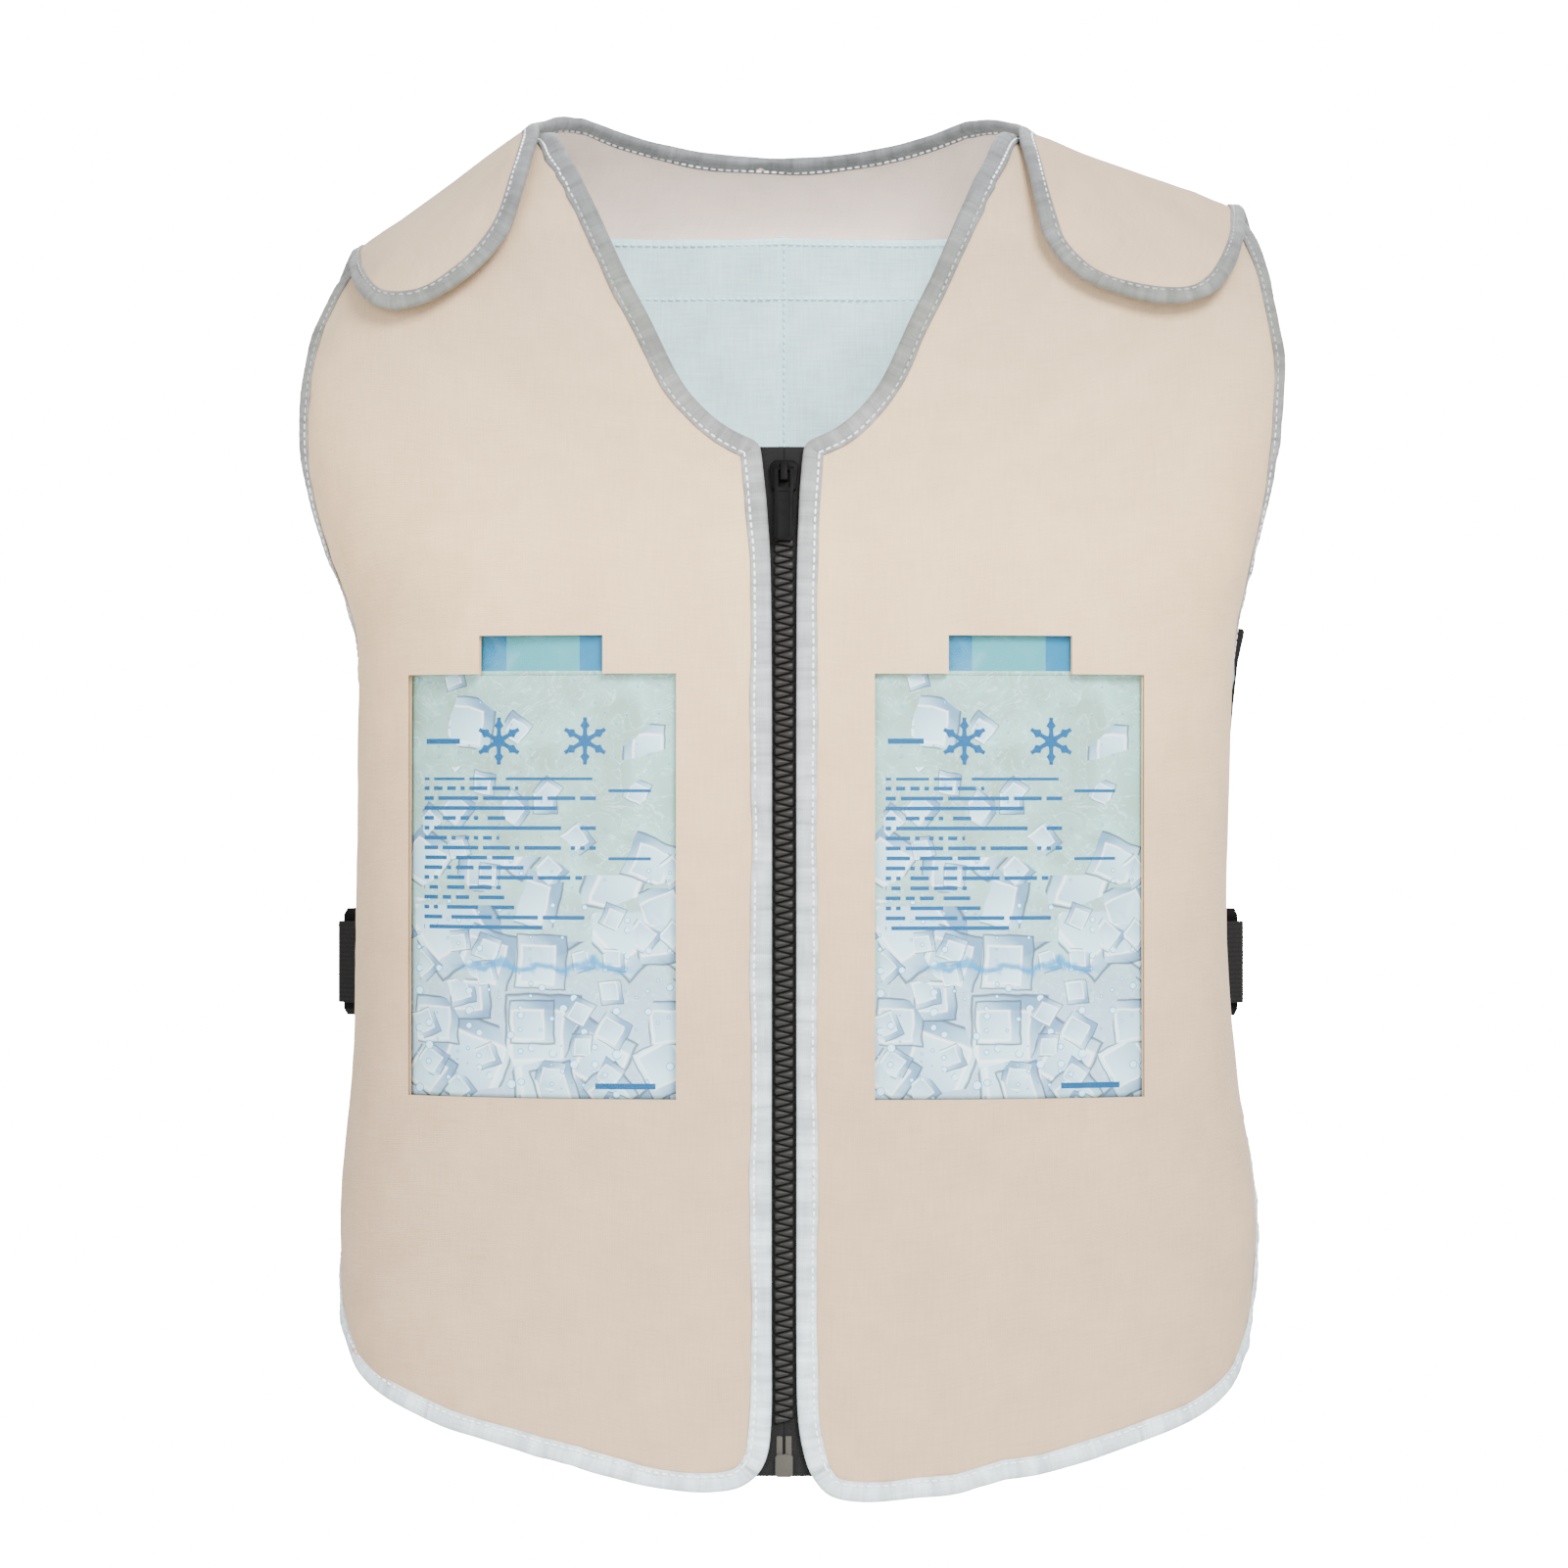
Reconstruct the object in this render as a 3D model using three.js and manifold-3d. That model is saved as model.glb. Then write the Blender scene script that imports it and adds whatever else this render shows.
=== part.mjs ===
// A cooling vest in the shape that it has when worn: two cloth fronts closed by a moulded zip, a cloth
// back whose shoulder flaps fold forward over the fronts, a binding round every edge, straps with
// buckles at the sides, and two ice packs in pockets inside the fronts.
// Millimetres, +Z up. The front faces -Y, and the wearer's left is +X. The origin is midway between
// the shoulders, on the line where they carry the vest.
import * as THREE from "three";
import { mergeVertices } from "three/addons/utils/BufferGeometryUtils.js";
import Module from "manifold-3d";

const wasm = await Module();
wasm.setup();

// The worn form
const BODY_LENGTH = 620;
const CHEST_HALF_WIDTH = 234;
const FRONT_DEPTH = 122;
const BACK_DEPTH = 112;
const SHOULDER_ARCH = 48;
const SHOULDERS = {
  left: { reach: CHEST_HALF_WIDTH * 0.9017, drop: 47, flapLength: 92 },
  right: { reach: CHEST_HALF_WIDTH * 0.8419, drop: 68, flapLength: 84 },
};
const NECK_HALF_WIDTH = { left: 97, right: 103 };
const NECK_DEPTH_FRONT = 154;
const NECK_DEPTH_BACK = 14;

// Cloth, binding and the gap that neighbours keep
const CLOTH = 2;
const POCKET_CLOTH = 1;
const BINDING_CLOTH = 0.8;
const BINDING_WIDTH = 10;
const BINDING_GAP = 0.4;
const GAP = 0.3;
const FLAP_LIFT = 5.4;
const FLAP_LIFT_RUN = 95;

// Zip
const ZIP_OPENING = 11;
const ZIP_BOTTOM_RISE = 10;
const ZIP_TOP_DROP = 8;
const TOOTH_PITCH = 5;
const TOOTH_THICKNESS = 4.4;
const CHAIN_HALF_WIDTH = 4.3;
const SPINE_WIDTH = 1.3;
const TOOTH_OVERLAP = 2.5;
const TOOTH_GAP = 0.35;
const TAPE_WIDTH = 12.5;
const TAPE_THICKNESS = 0.8;
const TAPE_SETBACK = 0.4;
const BOX = { width: 7.8, length: 10, thickness: 6 };
const PIN = { width: 2.8, length: 14, thickness: 2.6, entry: 6 };
const SLIDER = { width: 12.2, foot: 10.4, length: 14, plate: 1.5, post: 3, postLength: 4, tapeSlot: 1.5 };
const BRIDGE = { width: 3.2, start: 1.2, length: 8.8, leg: 1.5, clear: 2.7, roof: 1.2 };
const PULL = { width: 9, length: 34, thickness: 1.8, pivotRadius: 1.1, window: 5.2, windowLength: 7.6 };
const PULL_PANEL = { margin: 1.7, depth: 0.4 };

// Side straps and buckles
const STRAP = { width: 49, thickness: 1.6, height: -257, tucked: 9, bowLeft: 8.5, bowRight: 1 };
const WEBBING = { width: 38, thickness: 1.5, height: -388, tucked: 8 };
const TUCK_SLACK = 1.4;
const BUCKLE = { width: 56, length: 58, thickness: 9.6, wall: 1.8, cavity: 25, behindEdge: 47, lift: 1.8 };
const BUCKLE_SLOT = { width: 40, length: 6.5, bar: 4.5 };
const PRONG = { width: 8, thickness: 5, shoulder: 3, window: 14 };

// Ice packs and pockets
const PACK = { width: 121, height: 189, thickness: 15, seam: 1.8, top: -255 };
const PACK_MIDDLE = { left: CHEST_HALF_WIDTH * 0.4295, right: CHEST_HALF_WIDTH * 0.465 };
const REACH_OF_RAY = 60;
const DEEPEST_FOLD = 12;
const PACK_NECK = { width: 56, height: 17 };
const FRONT_POCKET = { margin: 8, below: 12, mouth: 9 };
const BACK_POCKET = { halfWidth: CHEST_HALF_WIDTH * 0.248 + BACK_DEPTH * 0.518, top: 43, height: 385, puff: 4, setback: 0.4 };

const RADIANS = Math.PI / 180;
const HALF_CLOTH = CLOTH / 2;
const BINDING_INNER = HALF_CLOTH + BINDING_GAP;
const BINDING_OUTER = BINDING_INNER + BINDING_CLOTH;
const ARCH_RUN = (SHOULDER_ARCH * Math.PI) / 2;

// Half widths at each side and depths to the front and back, as shares of the sizes above, at shares
// of the body length below the shoulder line. square and squareBack are exponents of the rounded plan.
const FORM = [
  { down: 0, right: 0.86, left: 0.95, front: 0.49, back: 0.64, square: 2.5, squareBack: 2.6 },
  { down: 0.073, right: 0.871, left: 0.973, front: 0.6, back: 0.8, square: 2.7, squareBack: 2.7 },
  { down: 0.097, right: 0.885, left: 0.986, front: 0.64, back: 0.85, square: 2.8, squareBack: 2.8 },
  { down: 0.137, right: 0.93, left: 0.992, front: 0.7, back: 0.9, square: 2.9, squareBack: 2.9 },
  { down: 0.185, right: 0.954, left: 1.004, front: 0.77, back: 0.95, square: 3, squareBack: 3.0 },
  { down: 0.229, right: 0.962, left: 0.99, front: 0.83, back: 0.97, square: 3, squareBack: 3.0 },
  { down: 0.274, right: 0.937, left: 0.958, front: 0.88, back: 0.99, square: 3, squareBack: 3.0 },
  { down: 0.323, right: 0.888, left: 0.916, front: 0.93, back: 1.0, square: 2.9, squareBack: 3.0 },
  { down: 0.379, right: 0.835, left: 0.882, front: 0.96, back: 0.99, square: 2.7, squareBack: 3.1 },
  { down: 0.484, right: 0.831, left: 0.866, front: 0.99, back: 0.96, square: 2.6, squareBack: 3.3 },
  { down: 0.605, right: 0.837, left: 0.859, front: 1.0, back: 0.93, square: 2.6, squareBack: 3.4 },
  { down: 0.71, right: 0.839, left: 0.882, front: 0.99, back: 0.93, square: 2.6, squareBack: 3.4 },
  { down: 0.806, right: 0.859, left: 0.92, front: 0.975, back: 0.95, square: 2.6, squareBack: 3.3 },
  { down: 0.903, right: 0.865, left: 0.908, front: 0.96, back: 0.97, square: 2.6, squareBack: 3.1 },
  { down: 1.0, right: 0.859, left: 0.889, front: 0.945, back: 0.99, square: 2.6, squareBack: 3.0 },
];

// The shoulder line's fall from the neck to each shoulder's tip, as shares of the way out and of each drop
const CREST = [
  { out: -0.1, left: 0.0, right: 0.0 },
  { out: 0.0, left: 0.07, right: 0.04 },
  { out: 0.06, left: 0.15, right: 0.085 },
  { out: 0.15, left: 0.27, right: 0.155 },
  { out: 0.3, left: 0.425, right: 0.3 },
  { out: 0.5, left: 0.59, right: 0.5 },
  { out: 0.7, left: 0.766, right: 0.69 },
  { out: 0.9, left: 0.93, right: 0.89 },
  { out: 1.0, left: 1.0, right: 1.0 },
  { out: 1.4, left: 1.32, right: 1.42 },
];

// How far each front's edge parts at the zip beyond its straight part, as shares of ZIP_OPENING
const ZIP_FLARE = [
  { down: 0.248, right: 0.46, left: 0.3 },
  { down: 0.27, right: 0.32, left: 0.18 },
  { down: 0.31, right: 0.12, left: 0.06 },
  { down: 0.37, right: 0.0, left: 0.0 },
  { down: 0.86, right: 0.0, left: 0.0 },
  { down: 0.93, right: 0.0, left: 0.02 },
  { down: 0.963, right: 0.05, left: 0.2 },
  { down: 0.975, right: 0.3, left: 0.42 },
  { down: 0.985, right: 0.62, left: 0.62 },
];

// The front neckline from the zip to the shoulder, as shares of the neck's half width and depth
const NECKLINE = [
  { out: 0.12, down: 1.0 },
  { out: 0.24, down: 0.955 },
  { out: 0.35, down: 0.895 },
  { out: 0.45, down: 0.81 },
  { out: 0.575, down: 0.64 },
  { out: 0.68, down: 0.505 },
  { out: 0.765, down: 0.38 },
  { out: 0.855, down: 0.25 },
  { out: 0.94, down: 0.135 },
  { out: 1.0, down: 0.0 },
];

// The back neckline from the middle to the shoulder, as shares of the neck's half width and back depth
const BACK_NECKLINE = [
  { out: 0.0, down: 1.0 },
  { out: 0.27, down: 0.92 },
  { out: 0.53, down: 0.7 },
  { out: 0.78, down: 0.33 },
  { out: 1.0, down: 0.0 },
];

// The hem of each front from its corner at the zip to its corner at the side
const FRONT_HEM = {
  left: [
    { out: 0.052, down: 0.985 },
    { out: 0.085, down: 0.9985 },
    { out: 0.15, down: 1.003 },
    { out: 0.24, down: 1.0005 },
    { out: 0.37, down: 0.993 },
    { out: 0.55, down: 0.979 },
    { out: 0.71, down: 0.961 },
    { out: 0.83, down: 0.942 },
    { out: 0.875, down: 0.925 },
  ],
  right: [
    { out: 0.052, down: 0.985 },
    { out: 0.085, down: 0.993 },
    { out: 0.14, down: 0.996 },
    { out: 0.2, down: 0.995 },
    { out: 0.3, down: 0.9885 },
    { out: 0.44, down: 0.9745 },
    { out: 0.6, down: 0.9585 },
    { out: 0.72, down: 0.943 },
    { out: 0.8, down: 0.927 },
  ],
};

// The outer edge of each front, from the hem's corner up the side and the armhole, in degrees round the body
const FRONT_SIDE = {
  left: [
    { down: 0.915, turn: 80 },
    { down: 0.88, turn: 84.5 },
    { down: 0.81, turn: 87 },
    { down: 0.74, turn: 90 },
    { down: 0.67, turn: 93 },
    { down: 0.58, turn: 95 },
    { down: 0.48, turn: 95 },
    { down: 0.42, turn: 93 },
    { down: 0.375, turn: 88.5 },
    { down: 0.32, turn: 83 },
    { down: 0.27, turn: 79.5 },
    { down: 0.22, turn: 78.5 },
    { down: 0.17, turn: 79 },
    { down: 0.12, turn: 79.5 },
  ],
  right: [
    { down: 0.908, turn: 76 },
    { down: 0.88, turn: 83 },
    { down: 0.84, turn: 90 },
    { down: 0.78, turn: 95 },
    { down: 0.7, turn: 96 },
    { down: 0.6, turn: 96 },
    { down: 0.48, turn: 95.5 },
    { down: 0.42, turn: 93 },
    { down: 0.375, turn: 88.5 },
    { down: 0.32, turn: 83 },
    { down: 0.27, turn: 79.5 },
    { down: 0.22, turn: 78.5 },
    { down: 0.17, turn: 79 },
  ],
};

// The hem and side edge of the back, in degrees round the body from the middle of the front
const BACK_HEM = [
  { turn: 112, down: 0.9 },
  { turn: 118, down: 0.92 },
  { turn: 130, down: 0.94 },
  { turn: 150, down: 0.957 },
  { turn: 180, down: 0.963 },
];
const BACK_SIDE = [
  { down: 0.885, turn: 110.5 },
  { down: 0.84, turn: 111 },
  { down: 0.74, turn: 118 },
  { down: 0.62, turn: 121.5 },
  { down: 0.5, turn: 117 },
  { down: 0.42, turn: 110.5 },
  { down: 0.36, turn: 105.5 },
  { down: 0.3, turn: 103 },
  { down: 0.24, turn: 102.5 },
  { down: 0.18, turn: 102 },
];

// A shoulder flap's edge from the neck round to the shoulder's tip, as shares of the way out and of its length
const FLAP_EDGE = {
  inner: [
    { out: 0.05, run: 0.0 },
    { out: 0.07, run: 0.3 },
    { out: 0.095, run: 0.6 },
    { out: 0.13, run: 0.78 },
    { out: 0.19, run: 0.91 },
  ],
  lower: [
    { out: 0.19, run: 0.91 },
    { out: 0.3, run: 0.985 },
    { out: 0.42, run: 1.0 },
    { out: 0.56, run: 0.985 },
    { out: 0.7, run: 0.92 },
    { out: 0.82, run: 0.8 },
    { out: 0.89, run: 0.66 },
  ],
  outer: [
    { out: 0.89, run: 0.66 },
    { out: 0.945, run: 0.48 },
    { out: 0.98, run: 0.27 },
    { out: 1.0, run: 0.0 },
  ],
};

// Cells across and along each sheet of cloth
const CELLS = {
  front: { across: 7, zip: 10, neck: 7 },
  back: { crest: 3, neck: 6, along: 17 },
  flap: { inner: 5, lower: 6 },
  edgeBunching: 0.7,
  sideBunching: 0.2,
};

const sideSign = (side) => (side === "left" ? 1 : -1);
const share = (from, to, t) => from + (to - from) * t;
const bunchedBy = (amount) => (t) => t - (amount * Math.sin(2 * Math.PI * t)) / (2 * Math.PI);
const bunched = bunchedBy(CELLS.edgeBunching);

// Reads one column of a table at a value of another: cubic pieces that take each row's slope from its neighbours
function readTable(rows, by, column, at) {
  const last = rows.length - 1;
  const x = Math.min(Math.max(at, rows[0][by]), rows[last][by]);
  const i = Math.min(Math.max(rows.findIndex((row) => row[by] >= x), 1), last);
  const slope = (k) => {
    const a = rows[Math.max(k - 1, 0)];
    const b = rows[Math.min(k + 1, last)];
    return (b[column] - a[column]) / (b[by] - a[by]);
  };
  const width = rows[i][by] - rows[i - 1][by];
  const t = (x - rows[i - 1][by]) / width;
  const rise = t * t * (3 - 2 * t);
  return (
    share(rows[i - 1][column], rows[i][column], rise) +
    width * t * (1 - t) * ((1 - t) * slope(i - 1) - t * slope(i))
  );
}

// The shoulder line's height over a point x: level across the neck, then falling to the shoulder's tip
function crestHeight(x) {
  const side = x < 0 ? "right" : "left";
  const { reach, drop } = SHOULDERS[side];
  const neck = NECK_HALF_WIDTH[side];
  const out = (Math.abs(x) - neck) / (reach - neck);
  return -drop * readTable(CREST, "out", side, out);
}

// A place on the form is its turn, the angle round the body from the middle of the front, and its run, the
// distance down the cloth from the shoulder line. The cloth arches over that line and then hangs.
const dropOf = (run) =>
  Math.abs(run) < ARCH_RUN
    ? SHOULDER_ARCH * (1 - Math.cos(run / SHOULDER_ARCH))
    : SHOULDER_ARCH + Math.abs(run) - ARCH_RUN;
const fullnessOf = (run) => (Math.abs(run) < ARCH_RUN ? Math.sin(run / SHOULDER_ARCH) : Math.sign(run));
const runOf = (drop) =>
  drop < SHOULDER_ARCH
    ? SHOULDER_ARCH * Math.acos(1 - Math.max(drop, 0) / SHOULDER_ARCH)
    : ARCH_RUN + drop - SHOULDER_ARCH;

// Half width, depth and squareness of the plan at a height, on the side and face that a turn looks at
function planAt(turn, z) {
  const down = -z / BODY_LENGTH;
  const onBack = Math.cos(turn) < 0;
  const halfWidth = CHEST_HALF_WIDTH * readTable(FORM, "down", Math.sin(turn) < 0 ? "right" : "left", down);
  const depth = (onBack ? BACK_DEPTH : FRONT_DEPTH) * readTable(FORM, "down", onBack ? "back" : "front", down);
  const square = readTable(FORM, "down", onBack ? "squareBack" : "square", down);
  return { halfWidth, depth, square };
}

function reachAt(turn, z) {
  const { halfWidth, depth, square } = planAt(turn, z);
  const across = Math.abs(Math.sin(turn)) / halfWidth;
  const deep = Math.abs(Math.cos(turn)) / depth;
  return (across ** square + deep ** square) ** (-1 / square);
}

function surfacePoint(turn, run) {
  const drop = dropOf(run);
  let x = 0;
  let y = 0;
  let z = -drop;
  for (let pass = 0; pass < 10; pass++) {
    const reach = reachAt(turn, z);
    x = reach * Math.sin(turn);
    y = -reach * Math.cos(turn);
    z = crestHeight(x) - drop;
  }
  return new THREE.Vector3(x, y * fullnessOf(run), z);
}

// The directions in which a point moves as its turn and its run grow
function surfaceWays({ turn, run }) {
  const step = 0.4;
  const turnStep = step * RADIANS;
  const byTurn = surfacePoint(turn + turnStep, run).sub(surfacePoint(turn - turnStep, run)).divideScalar(2 * turnStep);
  const byRun = surfacePoint(turn, run + step).sub(surfacePoint(turn, run - step)).divideScalar(2 * step);
  return { byTurn, byRun };
}

function outwardAt(place) {
  const { byTurn, byRun } = surfaceWays(place);
  return byRun.cross(byTurn).normalize();
}

const liftedPoint = (place, lift) => surfacePoint(place.turn, place.run).addScaledVector(outwardAt(place), lift);

// The place reached by moving along the surface by a vector
function movedPlace(place, move) {
  const { byTurn, byRun } = surfaceWays(place);
  const tt = byTurn.dot(byTurn);
  const rr = byRun.dot(byRun);
  const tr = byTurn.dot(byRun);
  const a = byTurn.dot(move);
  const b = byRun.dot(move);
  const scale = tt * rr - tr * tr;
  return { turn: place.turn + (a * rr - b * tr) / scale, run: place.run + (b * tt - a * tr) / scale };
}

// The place that shows at (x, z) from straight in front, or on the back behind it
function placeAt(x, z, onBack = false) {
  const facing = onBack ? Math.PI : 0;
  const { halfWidth, depth, square } = planAt(facing + Math.sign(x) * (onBack ? -RADIANS : RADIANS), z);
  const across = Math.min(Math.abs(x) / halfWidth, 1);
  const deep = depth * (1 - across ** square) ** (1 / square);
  const turn = Math.atan2(x, onBack ? -deep : deep);
  return { turn: onBack && turn < 0 ? turn + 2 * Math.PI : turn, run: runOf(crestHeight(x) - z) };
}

function placeTurned(turn, z) {
  const x = reachAt(turn, z) * Math.sin(turn);
  return { turn, run: runOf(crestHeight(x) - z) };
}

// Places spaced along a smooth line through the given ones, bunched where the line starts and ends
function spacedPlaces(rough, count, spacing = bunched) {
  const line = new THREE.CatmullRomCurve3(
    rough.map(({ turn, run }) => surfacePoint(turn, run)),
    false,
    "centripetal",
  );
  const flat = new THREE.CatmullRomCurve3(
    rough.map(({ turn, run }) => new THREE.Vector3(turn, run, 0)),
    false,
    "catmullrom",
    0.5,
  );
  return Array.from({ length: count + 1 }, (_, i) => {
    const at = flat.getPoint(line.getUtoTmapping(spacing(i / count)));
    return { turn: at.x, run: at.y };
  });
}

// Places across a patch with four edges, by the blend of its opposite edges less that of its corners
function patchPlaces(lower, upper, starts, ends) {
  const across = lower.length - 1;
  const along = starts.length - 1;
  return starts.map((start, j) =>
    lower.map((low, i) => {
      const u = i / across;
      const v = j / along;
      const blend = (key) =>
        share(low[key], upper[i][key], v) +
        share(start[key], ends[j][key], u) -
        share(share(lower[0][key], lower[across][key], u), share(upper[0][key], upper[across][key], u), v);
      return { turn: blend("turn"), run: blend("run") };
    }),
  );
}

// The places of a line moved inwards by a width. hand is 1 where the line runs anticlockwise seen from outside.
function insetPlaces(line, width, hand, closed) {
  const points = line.map((place) => surfacePoint(place.turn, place.run));
  const count = line.length;
  const neighbour = (i, step) =>
    closed ? points[(i + step + count) % count] : points[Math.min(Math.max(i + step, 0), count - 1)];
  return line.map((place, i) => {
    const before = points[i].clone().sub(neighbour(i, -1)).normalize();
    const after = neighbour(i, 1).clone().sub(points[i]).normalize();
    const along = before.clone().add(after).normalize();
    const inward = outwardAt(place).cross(along).multiplyScalar(hand);
    const halfBend = Math.max(Math.cos(before.angleTo(after) / 2 || 0), 0.75);
    const mitre = before.lengthSq() && after.lengthSq() ? 1 / halfBend : 1;
    return movedPlace(place, inward.multiplyScalar(width * mitre));
  });
}

// One closed body from points and faces, turned so that its faces point outwards
function bodyGeometry(points, faces) {
  const volume = faces.reduce(
    (sum, [a, b, c]) => sum + points[a].dot(points[b].clone().cross(points[c])),
    0,
  );
  const turned = volume < 0 ? faces.map(([a, b, c]) => [a, c, b]) : faces;
  const geometry = new THREE.BufferGeometry().setFromPoints(points);
  geometry.setIndex(turned.flat());
  return geometry;
}

const quad = (a, b, c, d) => [
  [a, b, c],
  [a, c, d],
];

// A wall from its cells of 3 or 4 corners, with a point on its outer and one on its inner face for each corner
function wallGeometry(outer, inner, cells) {
  const count = outer.length;
  const faces = [];
  const rim = new Map();
  for (const cell of cells) {
    for (let k = 2; k < cell.length; k++) {
      faces.push([cell[0], cell[k - 1], cell[k]]);
      faces.push([cell[0] + count, cell[k] + count, cell[k - 1] + count]);
    }
    cell.forEach((a, k) => {
      const b = cell[(k + 1) % cell.length];
      if (!rim.delete(`${b} ${a}`)) rim.set(`${a} ${b}`, [a, b]);
    });
  }
  for (const [a, b] of rim.values()) faces.push(...quad(a, a + count, b + count, b));
  return bodyGeometry([...outer, ...inner], faces);
}

// A wall over a grid of places, whose two faces lie at the given lifts
function gridWall(grid, outerLift, innerLift) {
  const columns = grid[0].length;
  const places = grid.flat();
  const cells = [];
  for (let j = 1; j < grid.length; j++)
    for (let i = 1; i < columns; i++) {
      const corner = j * columns + i;
      cells.push([corner - columns - 1, corner - columns, corner, corner - 1]);
    }
  const at = (lift) => places.map((place, k) => liftedPoint(place, lift(k % columns, Math.floor(k / columns), place)));
  return wallGeometry(at(outerLift), at(innerLift), cells);
}

// A panel of cloth with its binding. edges are lower, outer, upper and inner, the first and third running
// outwards and the other two upwards. bound says of each place of the loop round them whether it is bound.
function boundPanel({ lower, outer, upper, inner, hand, isBound, lift }) {
  const loop = [
    ...lower,
    ...outer.slice(1),
    ...[...upper].reverse().slice(1),
    ...[...inner].reverse().slice(1, -1),
  ];
  const count = loop.length;
  const bound = loop.map((_, i) => isBound(i));
  const closed = bound.every(Boolean);
  const runs = boundRuns(bound);
  const rings = { edge: [...loop], web: [...loop], cut: [...loop], fold: [...loop] };
  const widths = { edge: 0, web: BINDING_CLOTH, cut: BINDING_CLOTH + GAP, fold: BINDING_WIDTH };
  for (const run of runs)
    for (const ring of Object.keys(rings)) {
      const moved = insetPlaces(run.map((i) => loop[i]), widths[ring], hand, closed);
      moved.forEach((place, k) => {
        const atSeam = !closed && (k === 0 || k === run.length - 1);
        rings[ring][run[k]] = atSeam ? { turn: place.turn, run: loop[run[k]].run } : place;
      });
    }

  const across = lower.length - 1;
  const along = inner.length - 1;
  const folded = (from, length, step) => Array.from({ length }, (_, i) => rings.fold[(from + step * i + count) % count]);
  const grid = patchPlaces(
    folded(0, across + 1, 1),
    folded(2 * across + along, across + 1, -1),
    folded(count, along + 1, -1),
    folded(across, along + 1, 1),
  );
  const cells = [];
  const gridIndex = (i, j) => j * (across + 1) + i;
  for (let j = 0; j < along; j++)
    for (let i = 0; i < across; i++)
      cells.push([gridIndex(i, j), gridIndex(i + 1, j), gridIndex(i + 1, j + 1), gridIndex(i, j + 1)]);
  const onGrid = (k) => {
    if (k <= across) return gridIndex(k, 0);
    if (k <= across + along) return gridIndex(across, k - across);
    if (k <= 2 * across + along) return gridIndex(2 * across + along - k, along);
    return gridIndex(0, count - k);
  };
  const places = grid.flat();
  const ringStart = places.length;
  places.push(...rings.cut);
  const used = new Set();
  loop.forEach((_, k) => {
    const next = (k + 1) % count;
    if (!bound[k] || !bound[next]) return;
    used.add(k).add(next);
    cells.push([ringStart + k, ringStart + next, onGrid(next), onGrid(k)]);
  });
  const kept = places.map((_, k) => k < ringStart || used.has(k - ringStart));
  const renumbered = [];
  kept.forEach((keep, k) => (renumbered[k] = keep ? kept.slice(0, k).filter(Boolean).length : -1));
  const keptPlaces = places.filter((_, k) => kept[k]);
  const at = (offset) => keptPlaces.map((place) => liftedPoint(place, lift(place) + offset));
  const cloth = wallGeometry(
    at(HALF_CLOTH),
    at(-HALF_CLOTH),
    cells.map((cell) => cell.map((k) => renumbered[k])),
  );
  const bindings = runs.map((run) => channelGeometry(rings, run, lift, closed));
  return { cloth, bindings };
}

// The runs of neighbouring places that are bound, each as a list of their numbers in the loop
function boundRuns(bound) {
  if (bound.every(Boolean)) return [bound.map((_, i) => i)];
  const count = bound.length;
  const start = bound.findIndex((here, i) => here && !bound[(i + count - 1) % count]);
  const runs = [];
  for (let k = 0; k < count; k++) {
    const i = (start + k) % count;
    if (!bound[i]) continue;
    if (!bound[(i + count - 1) % count]) runs.push([]);
    runs[runs.length - 1].push(i);
  }
  return runs;
}

// A binding folded over a cloth edge: a channel whose web covers the edge and whose flanges lie on both faces
function channelGeometry(rings, run, lift, closed) {
  const section = [
    ["edge", BINDING_OUTER],
    ["edge", -BINDING_OUTER],
    ["fold", -BINDING_OUTER],
    ["fold", -BINDING_INNER],
    ["web", -BINDING_INNER],
    ["web", BINDING_INNER],
    ["fold", BINDING_INNER],
    ["fold", BINDING_OUTER],
  ];
  const corners = section.length;
  const points = run.flatMap((i) =>
    section.map(([ring, offset]) => liftedPoint(rings[ring][i], lift(rings[ring][i]) + offset)),
  );
  const faces = [];
  const joints = closed ? run.length : run.length - 1;
  for (let s = 0; s < joints; s++) {
    const here = s * corners;
    const there = ((s + 1) % run.length) * corners;
    for (let k = 0; k < corners; k++) {
      const next = (k + 1) % corners;
      const [a, b, c, d] = [here + k, there + k, there + next, here + next];
      const inwardBand = section[k][0] === "fold" && section[next][0] !== "fold";
      faces.push(...(inwardBand ? quad(d, a, b, c) : quad(a, b, c, d)));
    }
  }
  if (!closed)
    for (const [start, flip] of [
      [0, true],
      [joints * corners, false],
    ]) {
      const caps = [
        [0, 7, 6, 5],
        [0, 5, 4, 1],
        [1, 4, 3, 2],
      ];
      for (const cap of caps) {
        const [a, b, c, d] = cap.map((k) => start + k);
        faces.push(...(flip ? quad(a, d, c, b) : quad(a, b, c, d)));
      }
    }
  return bodyGeometry(points, faces);
}

// Materials
const cloth = new THREE.MeshStandardMaterial({ color: 0xdfd1c3, roughness: 0.92, metalness: 0 });
const bindingTape = new THREE.MeshStandardMaterial({ color: 0xc9cccd, roughness: 0.6, metalness: 0.05 });
const pocketCloth = new THREE.MeshStandardMaterial({ color: 0xd3dde0, roughness: 0.85, metalness: 0 });
const blackPlastic = new THREE.MeshStandardMaterial({ color: 0x2b2a27, roughness: 0.45, metalness: 0 });
const blackWebbing = new THREE.MeshStandardMaterial({ color: 0x201f1e, roughness: 0.85, metalness: 0 });
const packFilm = new THREE.MeshStandardMaterial({ color: 0xbfd6d6, roughness: 0.25, metalness: 0 });

function namedMesh(name, geometry, material) {
  const mesh = new THREE.Mesh(geometry, material);
  mesh.name = name;
  return mesh;
}

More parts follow.
